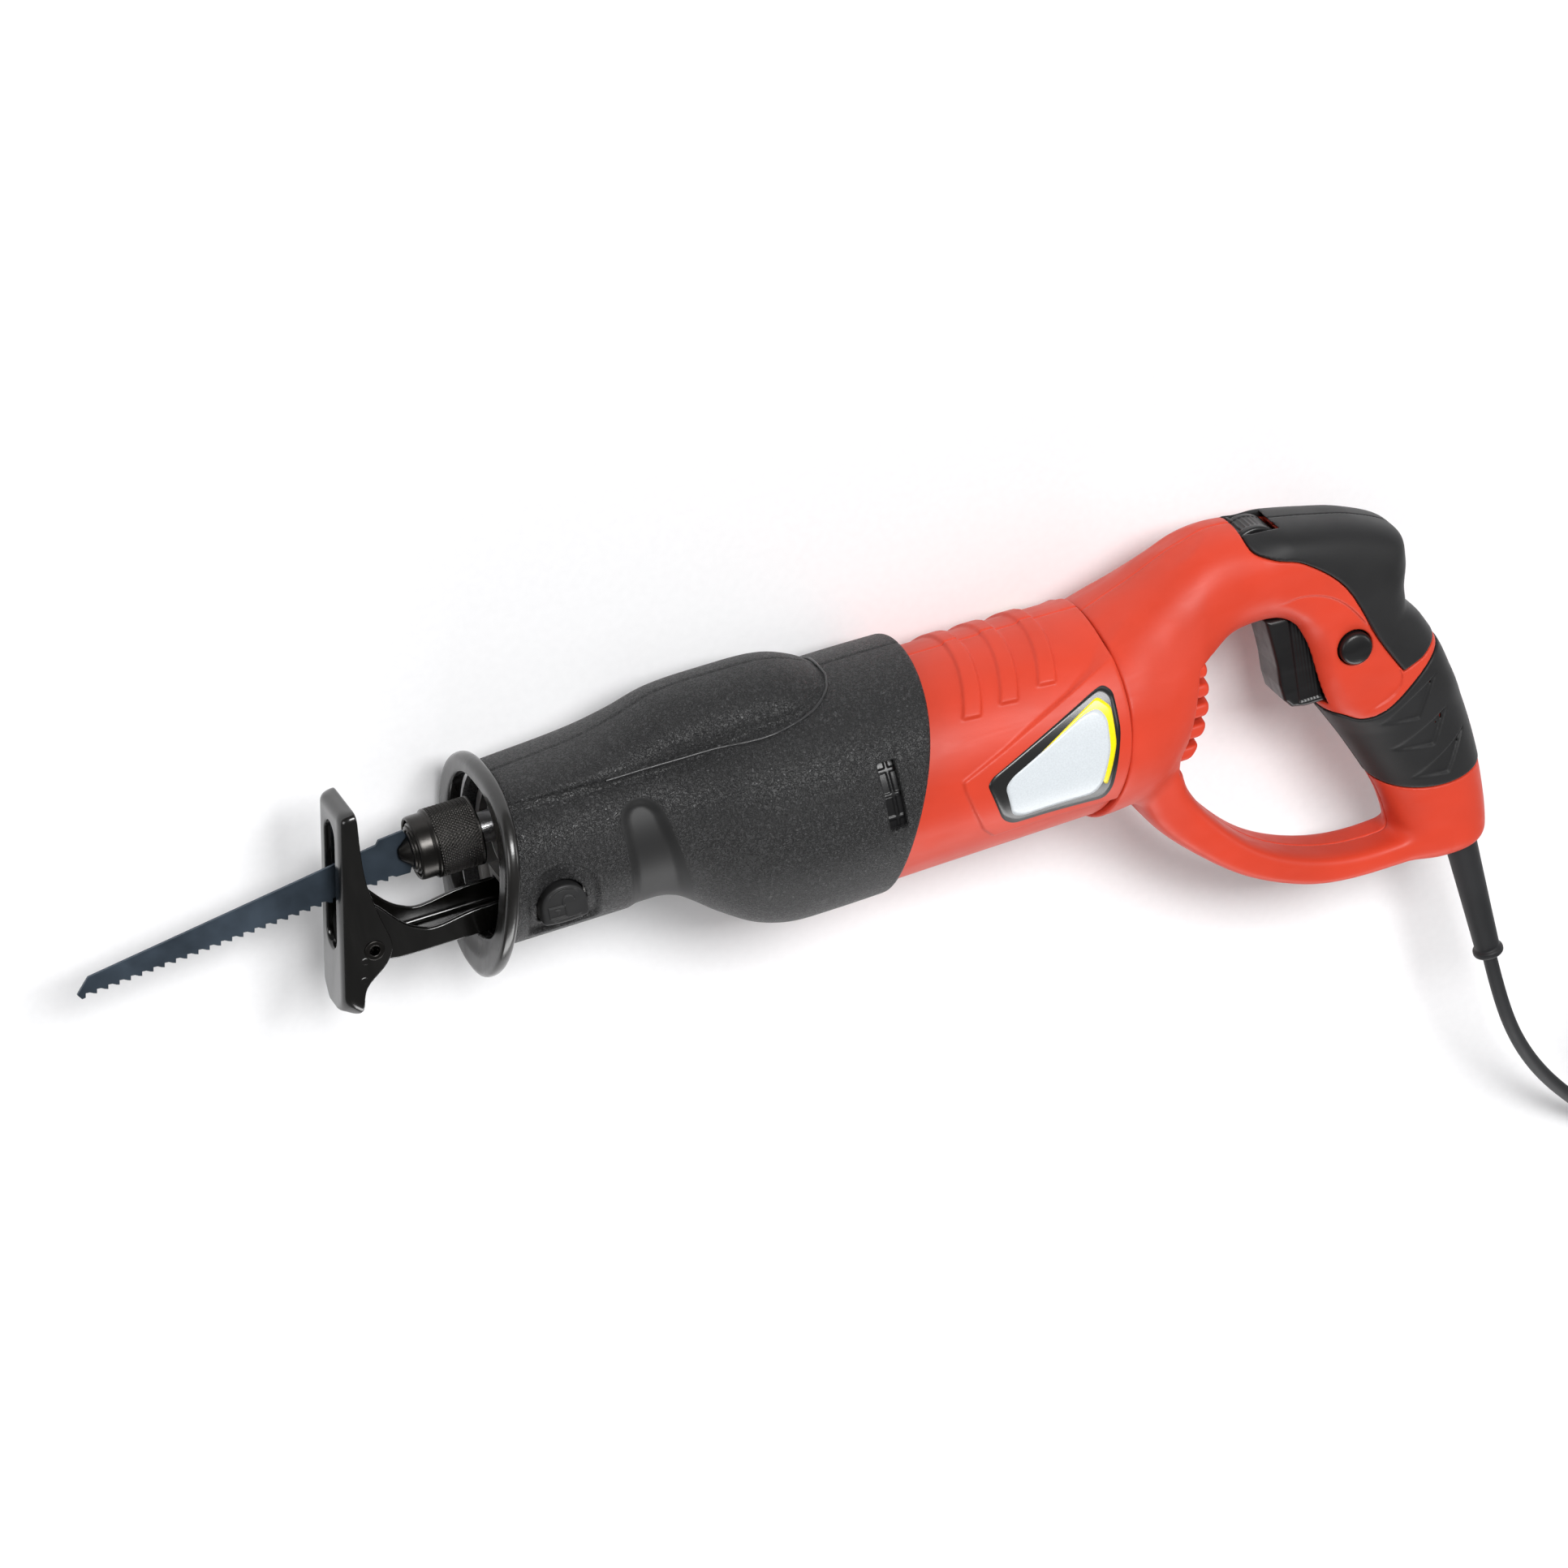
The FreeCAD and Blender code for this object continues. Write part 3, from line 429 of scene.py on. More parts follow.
def spark_plastic(name, base, rough=0.42, depth=0.00002, specular=0.45):
    """Moulded plastic with a fine spark-eroded texture, faint flow clouds and scuffs."""
    m, nodes, links, shader = material(name, base, rough, specular=specular)
    clouds = noise(nodes, links, 28, 4)
    tint(nodes, links, shader, clouds, [(0.3, shade(base, 0.93)), (0.7, shade(base, 1.06))])
    fine = noise(nodes, links, 2600, 2)
    first = bump(nodes, links, shader, fine, depth)
    bump(nodes, links, shader, clouds, 0.0003, 0.25, first)
    scuffs = noise(nodes, links, 160, 5, (0.25, 1, 1), 0.6)
    links.new(remap(nodes, links, scuffs, 0.35, 0.75, rough - 0.05, rough + 0.09), shader.inputs["Roughness"])
    return m


def leather_rubber(name, base):
    """Hard rubber moulded with a fine worm-like leather grain."""
    m, nodes, links, shader = material(name, base, 0.5, specular=0.5)
    worms = noise(nodes, links, 820, 1.0, distortion=1.0)
    ridge = arithmetic(nodes, links, "ABSOLUTE", arithmetic(nodes, links, "SUBTRACT", worms, 0.5))
    grain = remap(nodes, links, ridge, 0.01, 0.12, 1.0, 0.0)
    where = nodes.new("ShaderNodeTexCoord")
    split = nodes.new("ShaderNodeSeparateXYZ")
    links.new(where.outputs["Object"], split.inputs[0])
    x = remap(nodes, links, split.outputs["X"], ORIGIN.x, ORIGIN.x + 0.1, 0, 100)
    y = remap(nodes, links, split.outputs["Y"], ORIGIN.y, ORIGIN.y + 0.1, 0, 100)
    for node in (x.node, y.node):
        node.clamp = False
    middle = remap(nodes, links, y, 24, -40, 54.5, 60.5)
    wide = remap(nodes, links, y, 24, -40, 8.5, 14.0)
    off = arithmetic(nodes, links, "SUBTRACT", x, middle)
    above = arithmetic(nodes, links, "MAXIMUM", arithmetic(nodes, links, "SUBTRACT", y, 18), 0)
    squares = [arithmetic(nodes, links, "MULTIPLY", v, v) for v in (off, above)]
    beside = arithmetic(nodes, links, "SQRT", arithmetic(nodes, links, "ADD", *squares))
    outside = arithmetic(nodes, links, "SUBTRACT", beside, wide)
    grain = arithmetic(nodes, links, "MULTIPLY", grain, remap(nodes, links, outside, -0.5, 0.5, 0, 1))
    fine = noise(nodes, links, 2400, 2)
    first = bump(nodes, links, shader, fine, 0.00002)
    bump(nodes, links, shader, grain, 0.00036, 1.0, first)
    tint(nodes, links, shader, grain, [(0.0, shade(base, 0.6)), (1.0, shade(base, 2.2))])
    links.new(remap(nodes, links, grain, 0, 1, 0.56, 0.40), shader.inputs["Roughness"])
    return m


def soft_grip(name, base):
    """Smooth elastomer with a dusty sheen, fine lint and slight mottling."""
    m, nodes, links, shader = material(name, base, 0.6, specular=0.35)
    mottle = noise(nodes, links, 45, 5)
    tint(nodes, links, shader, mottle, [(0.3, shade(base, 0.85)), (0.7, shade(base, 1.2))])
    fine = noise(nodes, links, 1900, 3)
    bump(nodes, links, shader, fine, 0.00003)
    links.new(remap(nodes, links, mottle, 0.3, 0.7, 0.52, 0.66), shader.inputs["Roughness"])
    shader.inputs["Sheen Weight"].default_value = 0.06
    return m


def gloss_enamel(name, base, rough=0.2):
    """Black dipped enamel over pressed steel: glossy, with orange peel and dust."""
    m, nodes, links, shader = material(name, base, rough, specular=0.55, coat=0.4, coat_rough=0.12)
    peel = noise(nodes, links, 260, 3)
    bump(nodes, links, shader, peel, 0.00006, 0.7)
    smears = noise(nodes, links, 90, 5, (1, 0.3, 1), 0.8)
    tint(nodes, links, shader, smears, [(0.3, shade(base, 0.8)), (0.75, shade(base, 1.35))])
    links.new(remap(nodes, links, smears, 0.3, 0.75, rough - 0.04, rough + 0.14), shader.inputs["Roughness"])
    return m


def worked_steel(name, base, rough=0.32, stretch=(1, 1, 1), metallic=1.0):
    """Machined or rolled steel with fine drawn lines and tarnish."""
    m, nodes, links, shader = material(name, base, rough, metallic=metallic)
    lines = noise(nodes, links, 900, 4, stretch)
    bump(nodes, links, shader, lines, 0.000012, 0.8)
    tarnish = noise(nodes, links, 70, 6)
    tint(nodes, links, shader, tarnish, [(0.3, shade(base, 0.8)), (0.7, shade(base, 1.15))])
    links.new(remap(nodes, links, tarnish, 0.3, 0.7, rough - 0.06, rough + 0.1), shader.inputs["Roughness"])
    return m


def cast_metal(name, base):
    """Sand-blasted die casting."""
    m, nodes, links, shader = material(name, base, 0.5, metallic=0.9)
    pits = noise(nodes, links, 1300, 4)
    bump(nodes, links, shader, pits, 0.00006)
    stains = noise(nodes, links, 50, 5)
    tint(nodes, links, shader, stains, [(0.3, shade(base, 0.75)), (0.7, shade(base, 1.1))])
    return m


def printed_film(name, base, rough=0.3, metallic=0.0):
    """Printed polyester film with a light stipple."""
    m, nodes, links, shader = material(name, base, rough, metallic=metallic, coat=0.3, coat_rough=0.25)
    stipple = noise(nodes, links, 1500, 3)
    bump(nodes, links, shader, stipple, 0.00002, 0.6)
    tint(nodes, links, shader, stipple, [(0.3, shade(base, 0.93)), (0.7, shade(base, 1.05))])
    return m


RED = (0.60, 0.050, 0.022)
RED_PLASTIC = spark_plastic("red_plastic", RED, 0.45, specular=0.3)
BLACK_PLASTIC = spark_plastic("black_plastic", (0.008, 0.008, 0.0085), 0.33)
BEAD_RUBBER = spark_plastic("bead_rubber", (0.03, 0.03, 0.031), 0.28)
BUTTON_PLASTIC = spark_plastic("button_plastic", (0.015, 0.015, 0.0155), 0.5)
BOOT_RUBBER = leather_rubber("boot_rubber", (0.012, 0.012, 0.0125))
GRIP_RUBBER = soft_grip("grip_rubber", (0.008, 0.008, 0.0086))
ENAMEL = gloss_enamel("black_enamel", (0.0025, 0.0023, 0.002), 0.17)
FLANGE_PLASTIC = gloss_enamel("flange_plastic", (0.005, 0.0045, 0.004), 0.26)
OXIDE_STEEL = worked_steel("black_oxide_steel", (0.042, 0.040, 0.038), 0.28)
BLADE_STEEL = worked_steel("blade_steel", (0.055, 0.075, 0.10), 0.42, (0.08, 1, 1), 0.75)
STEEL = worked_steel("steel", (0.52, 0.52, 0.53), 0.28)
CASTING = cast_metal("casting", (0.42, 0.41, 0.40))
BRONZE = worked_steel("bronze", (0.55, 0.36, 0.16), 0.4)
COPPER = worked_steel("copper", (0.62, 0.25, 0.11), 0.35)
LAMINATIONS = worked_steel("laminations", (0.3, 0.3, 0.31), 0.4, (12, 0.2, 0.2))
CARBON = spark_plastic("carbon", (0.03, 0.03, 0.03), 0.6)
CORD_SHEATH = soft_grip("cord_sheath", (0.011, 0.0115, 0.013))
NICKEL = worked_steel("nickel", (0.75, 0.74, 0.71), 0.16)
PALE_PLASTIC = spark_plastic("pale_plastic", (0.62, 0.60, 0.55))
LABEL_BLACK = printed_film("label_black", (0.012, 0.012, 0.012))
LABEL_SILVER = printed_film("label_silver", (0.62, 0.66, 0.69), 0.38)
LABEL_YELLOW = printed_film("label_yellow", (0.95, 0.76, 0.0))

NODE_MATERIALS = {"red_plastic": RED_PLASTIC, "boot_rubber": BOOT_RUBBER, "grip_rubber": GRIP_RUBBER,
                  "black_plastic": BLACK_PLASTIC, "gloss_black_steel": ENAMEL,
                  "black_oxide_steel": OXIDE_STEEL, "blade_steel": BLADE_STEEL,
                  "steel": STEEL, "casting": CASTING, "bronze": BRONZE,
                  "copper": COPPER, "laminations": LAMINATIONS, "carbon": CARBON, "label": LABEL_BLACK,
                  "cord": CORD_SHEATH, "nickel": NICKEL, "white_plastic": PALE_PLASTIC}


def dress_cad_nodes():
    """Gives every CAD node the material of its slot."""
    for part in frame["record"]["subparts"]:
        obj = frame["nodes"][part["node"]]
        obj.data.materials.clear()
        obj.data.materials.append(NODE_MATERIALS[part["material_slot"]])
        for polygon in obj.data.polygons:
            polygon.use_smooth = False


# ---------------------------------------------------------------- camera, floor and light
CAMERA_RIGHT = (0.92457, -0.15009, 0.35021)      # the view's right and up, in world axes
CAMERA_UP = (0.28738, 0.87822, -0.38230)
CAMERA_PLACE = (-0.6587, 1.2239, 2.2960)         # metres
CAMERA_LENS = 159.9                              # millimetres, on a 36 mm sensor


def add_camera():
    """Looks down on the saw from its top left side."""
    right, up = Vector(CAMERA_RIGHT), Vector(CAMERA_UP)
    back = right.cross(up)
    data = bpy.data.cameras.new("camera")
    data.sensor_width = 36
    data.lens = CAMERA_LENS
    data.clip_start = 0.1
    data.clip_end = 20
    camera = bpy.data.objects.new("camera", data)
    bpy.context.scene.collection.objects.link(camera)
    turn = Matrix((right, up, back)).transposed().to_4x4()
    camera.matrix_world = Matrix.Translation(CAMERA_PLACE) @ turn
    bpy.context.scene.camera = camera


def add_light(name, place_at, aim_at, size, power, colour=(1, 1, 1)):
    data = bpy.data.lights.new(name, "AREA")
    data.shape = "RECTANGLE"
    data.size, data.size_y = size
    data.energy = power
    data.color = colour
    light = bpy.data.objects.new(name, data)
    bpy.context.scene.collection.objects.link(light)
    light.location = place_at
    light.rotation_euler = (Vector(aim_at) - Vector(place_at)).to_track_quat("-Z", "Y").to_euler()


def add_studio():
    m, nodes, links, shader = material("floor", (0.86, 0.86, 0.87), 0.7)
    grain = noise(nodes, links, 300, 3)
    bump(nodes, links, shader, grain, 0.00005, 0.3)
    tint(nodes, links, shader, grain, [(0.3, (0.85, 0.85, 0.86)), (0.7, (0.87, 0.87, 0.88))])
    bpy.ops.mesh.primitive_plane_add(size=60, location=(0, 0, 0))
    floor = bpy.context.object
    floor.name = "floor"
    floor.data.materials.append(m)
    world = bpy.data.worlds.new("studio")
    bpy.context.scene.world = world
    world.use_nodes = True
    sky = world.node_tree.nodes["Background"]
    sky.inputs["Color"].default_value = (1, 1, 1, 1)
    sky.inputs["Strength"].default_value = 0.17
    add_light("key_light", (0.4, 1.9, 3.2), (0, 0, 0.05), (2.0, 1.1), 142)
    add_light("rear_light", (3.0, 0.2, 1.9), (0.05, 0, 0.05), (1.6, 1.3), 18)
    add_light("low_light", (0.1, -2.7, 1.0), (0.0, 0, 0.02), (2.6, 0.9), 46)
    add_light("nose_light", (-2.7, 0.9, 1.6), (-0.05, 0, 0.05), (1.2, 1.2), 17)
    bpy.context.scene.view_settings.view_transform = "Standard"
    bpy.context.scene.view_settings.look = "None"


# ---------------------------------------------------------------- mains lead
ROUTE = [(396.6, -168.4, 0.0), (398.9, -188.5, -0.4), (405.5, -212.5, -5.0), (418.5, -238.0, -15.5),
         (437.0, -264.0, -28.5), (456.5, -285.5, -38.0), (476.0, -299.5, -42.6), (494.0, -303.0, -42.9)]
COIL_CENTRE = (507.0, -264.0)
COIL_MEAN_R = 33.5
COIL_TURNS = 12
COIL_ROWS = 4
LAYERS = 3
TIE = 1.2
PLUG_DISTANCE = 18.0       # the plug's sleeve starts this far past the coil's centre line
PLUG_HEIGHT = 19.2
FLOOR = -47.0


def coil_points():
    """Turns wound row on row, in and out by turns, each crossover in a sector of its own."""
    pitch = 2 * CORD_R
    sector = math.radians(32)
    start = math.atan2(ROUTE[-1][1] - COIL_CENTRE[1], ROUTE[-1][0] - COIL_CENTRE[0])
    shifts = []
    for n in range(1, COIL_TURNS):
        row, layer = divmod(n, LAYERS)
        if layer == 0:                                  # up to the next row, in the same layer
            late = sector * (2 * row)
            shifts.append((2 * math.pi * n - late, 0, 1))
        else:
            late = sector * (2 * row + 1)
            shifts.append((2 * math.pi * n - late, 1 if row % 2 == 0 else -1, 0))
    last = 2 * math.pi * (COIL_TURNS - 1) - start
    points = []
    count = int(last / math.radians(15))
    for i in range(1, count + 1):
        turn = last * i / count
        layer = sum(way * float(ramp(turn, at - sector / 2, at + sector / 2)) for at, way, _ in shifts)
        row = sum(way * float(ramp(turn, at - sector / 2, at + sector / 2)) for at, _, way in shifts)
        layer -= 0.3 * (1 - float(ramp(turn, 0, sector)))      # comes in from outside the coil
        radius = COIL_MEAN_R + CORD_R * (LAYERS - 1) - pitch * layer
        height = FLOOR + TIE + CORD_R + pitch * row
        angle = start + turn
        points.append((COIL_CENTRE[0] + radius * math.cos(angle), COIL_CENTRE[1] + radius * math.sin(angle),
                       height))
    return points


def make_cord():
    outer = COIL_MEAN_R + CORD_R * (LAYERS - 1)
    plug_x = COIL_CENTRE[0] + outer
    tail = [(plug_x, COIL_CENTRE[1] + PLUG_DISTANCE * share, FLOOR + PLUG_HEIGHT + drop)
            for share, drop in ((0.45, 1.2), (0.8, 0.3), (1.0, 0.0), (1.3, 0.0))]
    points = [place(*p) for p in ROUTE + coil_points() + tail]
    curve = bpy.data.curves.new("mains_lead", "CURVE")
    curve.dimensions = "3D"
    curve.resolution_u = 6
    curve.bevel_depth = CORD_R * MM
    curve.bevel_resolution = 6
    curve.use_fill_caps = True
    spline = curve.splines.new("NURBS")
    spline.points.add(len(points) - 1)
    for point, at in zip(spline.points, points):
        point.co = (*at, 1)
    spline.order_u = 3
    spline.use_endpoint_u = True
    curve.materials.append(CORD_SHEATH)
    lead = bpy.data.objects.new("mains_lead", curve)
    bpy.context.scene.collection.objects.link(lead)
    return finish_piece(lead, "root", ("cord_lead", "cord_coil"))


# ---------------------------------------------------------------- front casing
# stations along the casing: (x, centre y, half height, half width)
BOOT = [(-14, 6.5, 33.5, 34), (20, 6.5, 33.5, 34), (45, 6.5, 33.5, 34), (58, 6.5, 33.5, 34),
        (70, 4.5, 34.8, 35.5), (82, 0.1, 39.8, 39.8), (94, -3.3, 44.4, 44.0),
        (106, -4.7, 46.9, 46.4), (120, -5.0, 47.4, 46.7), (150, -4.6, 47.2, 46.7), (181, -4.2, 46.3, 46.2)]
CASTING_R = 42.9
BOOT_WALL = 3.2
HOOD = [(-14, 32, 7, 21), (20, 33, 8.5, 22), (45, 33, 11, 22.5), (60, 33, 14.5, 22.5), (75, 33, 19, 23),
        (100, 33, 20, 23.5), (118, 33, 19.3, 23.5), (130, 32.5, 16.5, 21.5), (139, 31, 12.5, 16),
        (145, 29, 6, 8)]
REAR_LOW, REAR_HIGH = 146.0, 176.0        # the boot's rear edge below and above, an easy S between them
HOOD_LINE = 34.0                          # height of the hood's edge along the side
HOOD_BACK = 143.0                         # where it turns up and over the top
HOOD_TURN = (39.0, 12.0)                  # length and height of the quarter ellipse of that turn
HOOD_EDGE = [(-14, 35.5), (30, HOOD_LINE), (46, HOOD_LINE)]
HOOD_EDGE += [(HOOD_BACK - HOOD_TURN[0] * (1 - math.sin(a)), HOOD_LINE + HOOD_TURN[1] * (1 - math.cos(a)))
              for a in np.linspace(0, math.pi / 2, 10)] + [(HOOD_BACK, 60)]
NOSE_LEAN = 0.20
NOSE_Y = 3.0
BUTTON = (19.0, -3.5, 9.1, 7.6)          # release button: centre and half sizes


def dee_field(x, y, centre_x, centre_y, half_x, half_y, low_corner=1.6):
    """A D on its back: round on top, nearly square below."""
    dome = np.hypot(x - centre_x, np.maximum(y - (centre_y + half_y - half_x), 0)) - half_x
    low = -(y - (centre_y - half_y))
    return both(dome, low, low_corner)


def make_hood_bead(g, outer):
    """A fine smooth bead along the hood's edge on each side, joined over the top behind the hood."""
    x, y = np.array([p for p in HOOD_EDGE if p[0] >= 45 and p[1] <= 43]).T
    along = np.concatenate([[0], np.cumsum(np.hypot(np.diff(x), np.diff(y)))])
    stops = np.arange(0, along[-1], 1.5)
    x, y = np.interp(stops, along, x), np.interp(stops, along, y)
    depths = np.arange(0, 49, 0.25)
    side = []
    for px, py in zip(x, y):
        value = sample(outer, g, np.stack([np.full_like(depths, px), np.full_like(depths, py), depths], 1))[0]
        side.append((px, py, depths[np.argmax(value > 0)]))
    start = math.atan2(side[-1][1], side[-1][2])
    top = []
    for angle in np.linspace(start, math.pi - start, 36)[1:-1]:
        reach = np.arange(20, 58, 0.25)
        level = np.full_like(reach, side[-1][0])
        ring = np.stack([level, reach * math.sin(angle), reach * math.cos(angle)], 1)
        top.append(ring[np.argmax(sample(outer, g, ring)[0] > 0)])
    loop = side + [tuple(p) for p in top] + [(px, py, -pz) for px, py, pz in reversed(side)]
    curve = bpy.data.curves.new("hood_bead", "CURVE")
    curve.dimensions = "3D"
    curve.bevel_depth = 0.6 * MM
    curve.bevel_resolution = 3
    curve.use_fill_caps = True
    spline = curve.splines.new("NURBS")
    spline.points.add(len(loop) - 1)
    for point, at in zip(spline.points, loop):
        point.co = (*place(*at), 1)
    spline.order_u = 4
    spline.use_endpoint_u = True
    curve.materials.append(BEAD_RUBBER)
    bead = bpy.data.objects.new("hood_bead", curve)
    bpy.context.scene.collection.objects.link(bead)
    finish_piece(bead, "root")


def make_boot():
    g = Block((-9, -53, -49), (178, 56, 49), 0.6)
    barrel = sweep_field(g, BOOT, 2.05)
    hood = sweep_field(g, HOOD, 2.15)
    outer = join(barrel, hood, 0.8)
    # towards the nose the hood's edge is marked by a fine groove; behind that by a bead
    line = open_line_distance(g.x, g.y, HOOD_EDGE)
    outer = outer + 0.7 * np.exp(-(line / 0.8) ** 2) * (1 - ramp(g.x, 36, 50))
    make_hood_bead(g, outer)
    # finger groove down each side, deeper and wider towards the underside
    drop = np.clip((24 - g.y) / 64, 0, 1)
    mid = 54.5 + 6.0 * drop
    wide = 8.5 + 5.5 * drop
    beside = np.hypot(g.x - mid, np.maximum(g.y - 18, 0)) - wide
    depth = 2.5 * (1 - 0.7 * ramp(-g.y, 8, 26))
    channel = ramp(-beside, -0.5, 5.0) * depth
    outer = outer + channel
    # dished recess round the release button, on the left side
    dee = dee_field(g.x, g.y, BUTTON[0] + 0.5, -3.0, 14.5, 15.5, 3.0)
    outer = outer + 2.1 * ramp(-dee, -0.4, 2.2) * (g.z > 0)
    # moulding line along the top, and a rounded rim at the slanting rear edge
    outer = outer + 0.5 * np.exp(-(g.z / 0.55) ** 2) * (g.y > 20)
    edge = REAR_LOW + (REAR_HIGH - REAR_LOW) * ramp(g.y, -55, 58)
    outer = both(outer, (g.x - edge) * 0.94, 2.4)
    front = g.x - (1.0 + NOSE_LEAN * (g.y - NOSE_Y))
    outer = both(outer, -front, 0.8)
    stations = []
    for x, centre, high, wide_half in BOOT:
        most = math.inf if x < 100 else CASTING_R + 0.2
        stations.append((x, centre, min(high - BOOT_WALL, most), min(wide_half - BOOT_WALL, most)))
    inner = sweep_field(g, stations, 2.05)
    shell = cut(outer, inner + channel, 0.4)
    vent = box_field(g, (144.5, -9.5, -60), (151.5, 17.0, 60), 0.9)
    shell = cut(shell, vent, 0.5)
    hole = both(dee_field(g.x, g.y, BUTTON[0], BUTTON[1], BUTTON[2] + 0.7, BUTTON[3] + 0.7), 12 - g.z)
    shell = cut(shell, hole, 0.5)
    field_object("boot_shell", g, shell, BOOT_RUBBER, "root", ("front_boot",))


def make_vent_baffle():
    """Black louvres behind the boot's side vents."""
    g = Block((142, -12, -46), (154, 20, 46), 0.4)
    rho = np.hypot(g.y - MOTOR_Y, g.z)
    inside = both(np.abs(g.x - 148) - 5, np.abs(g.y - 3.8) - 14.5)
    band = both(np.abs(rho - 43.35) - 0.45, inside)
    ribs = np.minimum(np.abs(g.x - 148.6) - 0.6, np.abs((g.y + 1.0) % 9.0 - 4.5) - 0.7)
    louvre = both(both(ribs, np.abs(rho - 43.9) - 0.4), both(np.abs(g.x - 148) - 3.3, np.abs(g.y - 3.8) - 13))
    field_object("vent_baffle", g, both(join(band, louvre, 0.2), 20 - np.abs(g.z)), BLACK_PLASTIC, "root")


def make_release_button():
    g = Block((9, -12.5, 21.5), (29.5, 5.5, 36), 0.16)
    dee = dee_field(g.x, g.y, *BUTTON)
    crown = g.z - (35.2 - 0.02 * (g.x - BUTTON[0]) ** 2)
    body = both(both(dee, crown, 1.2), 22.2 - g.z, 0.3)
    lip = np.abs(dee + 1.5) - 0.28
    body = cut(body, both(lip, 34.5 - g.z), 0.2)
    # an open padlock in raised lines, the usual sign for a release
    case = np.abs(np.maximum(np.abs(g.x - 15.6) - 3.1, np.abs(g.y + 6.2) - 2.2)) - 0.22
    arc = both(np.abs(np.hypot(g.x - 20.4, g.y + 2.6) - 2.3) - 0.22, -(g.y + 2.6))
    leg = both(np.abs(g.x - 18.1) - 0.22, np.abs(g.y + 3.4) - 0.9)
    arrow = outline_field(g.x, g.y, [(14.6, -5.2), (16.6, -5.2), (15.6, -7.3)], 0.05)
    sign = join(join(case, arc), join(leg, arrow))
    surface = np.abs(crown) - 0.3
    body = join(body, both(sign, surface), 0.1)
    field_object("release_button", g, body, BUTTON_PLASTIC, "release_button",
                 ("shoe_release_button",))


def make_flange():
    g = Block((-18, -40, -46), (12, 46, 46), 0.45)
    up = g.y - NOSE_Y
    lean = (g.x - (-5.5 + NOSE_LEAN * up)) / math.hypot(1, NOSE_LEAN)
    flare = 1 + 0.15 * up / 39.7
    rim = oval_field(up - 0.6, g.z / flare, 40.3, 41.5, 2.3)
    plate = both(rim, np.abs(lean - 2.9) - 2.9, 3.0)
    dished = rim + 7.5
    plate = plate + 0.8 * ramp(-dished, 0, 6) * (lean < 3)
    mouth = oval_field(up - 5.9, g.z, 29.0, 31.0, 2.5)
    plate = cut(plate, mouth, 1.4)
    nub = np.sqrt((g.x + 8) ** 2 + (g.y + 33.5) ** 2 + (g.z + 17) ** 2) - 1.5
    plate = join(plate, nub, 1.0)
    field_object("nose_flange", g, plate, FLANGE_PLASTIC, "root", ("front_flange",))


# ---------------------------------------------------------------- motor housing
BANDS = [(190.5, 52.0), (205.6, 50.0), (221.2, 46.5)]     # front edge at the top, and angle where it ends
BAND_WIDTH = 6.6
CREASE = [(150, 95), (178, 82.5), (195.6, 73), (208, 66), (225, 56), (248, 43)]
SCOOP = [(150, 94), (178, 81), (195.6, 71.5), (208, 63), (225.6, 53.5), (236.8, 43.5), (244.6, 31), (250, 24)]
PANEL_LOW = 124.0
LABEL = [(185.8, 88), (188.3, 84.5), (234.5, 57.5), (239.0, 55.5), (242.0, 60), (241.2, 80), (235.5, 112),
         (232.5, 118.5), (195.0, 117), (190.5, 111.5)]


def housing_radius(x):
    return 42.5 - 1.5 * (x - 150) / 97


def panel_rise(x, angle):
    """How far the label panel stands above the housing, by place along it and angle from the top."""
    crease = np.interp(x, *zip(*CREASE))
    scoop = np.interp(x, *zip(*SCOOP))
    top = np.clip((angle - scoop) / (crease - scoop), 0, 1) ** 1.7
    bottom = 1 - ramp(angle, PANEL_LOW - 0.8, PANEL_LOW + 0.8)
    left = np.interp(angle, [60, 87, 100, 115, 123], [176.5, 176.8, 179.3, 182.8, 187.0])
    front = ramp(x, left - 0.5, left + 0.7)
    height = 1.1 + 1.5 * ramp(x, 205, 247)
    return height * top * bottom * front


def seam_x(y):
    """The curved seam between the motor housing and the handle."""
    return SEAM_X - 0.0036 * (y - 18) ** 2


def make_motor_housing():
    g = Block((142, -50, -0.6), (250, 38, 45), 0.6)
    rho = np.hypot(g.y - MOTOR_Y, g.z)
    angle = np.degrees(np.arctan2(np.abs(g.z), g.y - MOTOR_Y))
    outer = rho - housing_radius(g.x)
    for front, end in BANDS:
        line = front - 7.9 * (angle / 52) ** 2.2
        into = g.x - line
        wide = BAND_WIDTH + 1.6 * angle / 52
        mask = ramp(into, -0.2, 1.2) * (1 - ramp(into, wide - 0.6, wide + 0.3))
        mask = mask * (1 - ramp(angle - (into - 4) * 0.12, end - 0.9, end + 0.9))
        outer = outer - 1.25 * mask
    outer = outer - panel_rise(g.x, angle)
    outer = outer + 0.5 * np.exp(-(g.z / 0.35) ** 2)
    outer = both(outer, -(g.z - 0.1), 0.3)
    rear = g.x - (seam_x(g.y) - 0.25)
    shell = both(both(outer, rear, 1.1), 149 - g.x, 0.5)
    shell = cut(shell, rho - (housing_radius(g.x) - 3.0), 0.3)
    for low in (-9.5, -0.4, 8.7):
        slot = box_field(g, (150.5, low, 20), (153.5, low + 7.6, 60), 0.6)
        shell = cut(shell, slot, 0.3)
    mirror_pair("motor_shell", g, shell, RED_PLASTIC, "motor_housing")


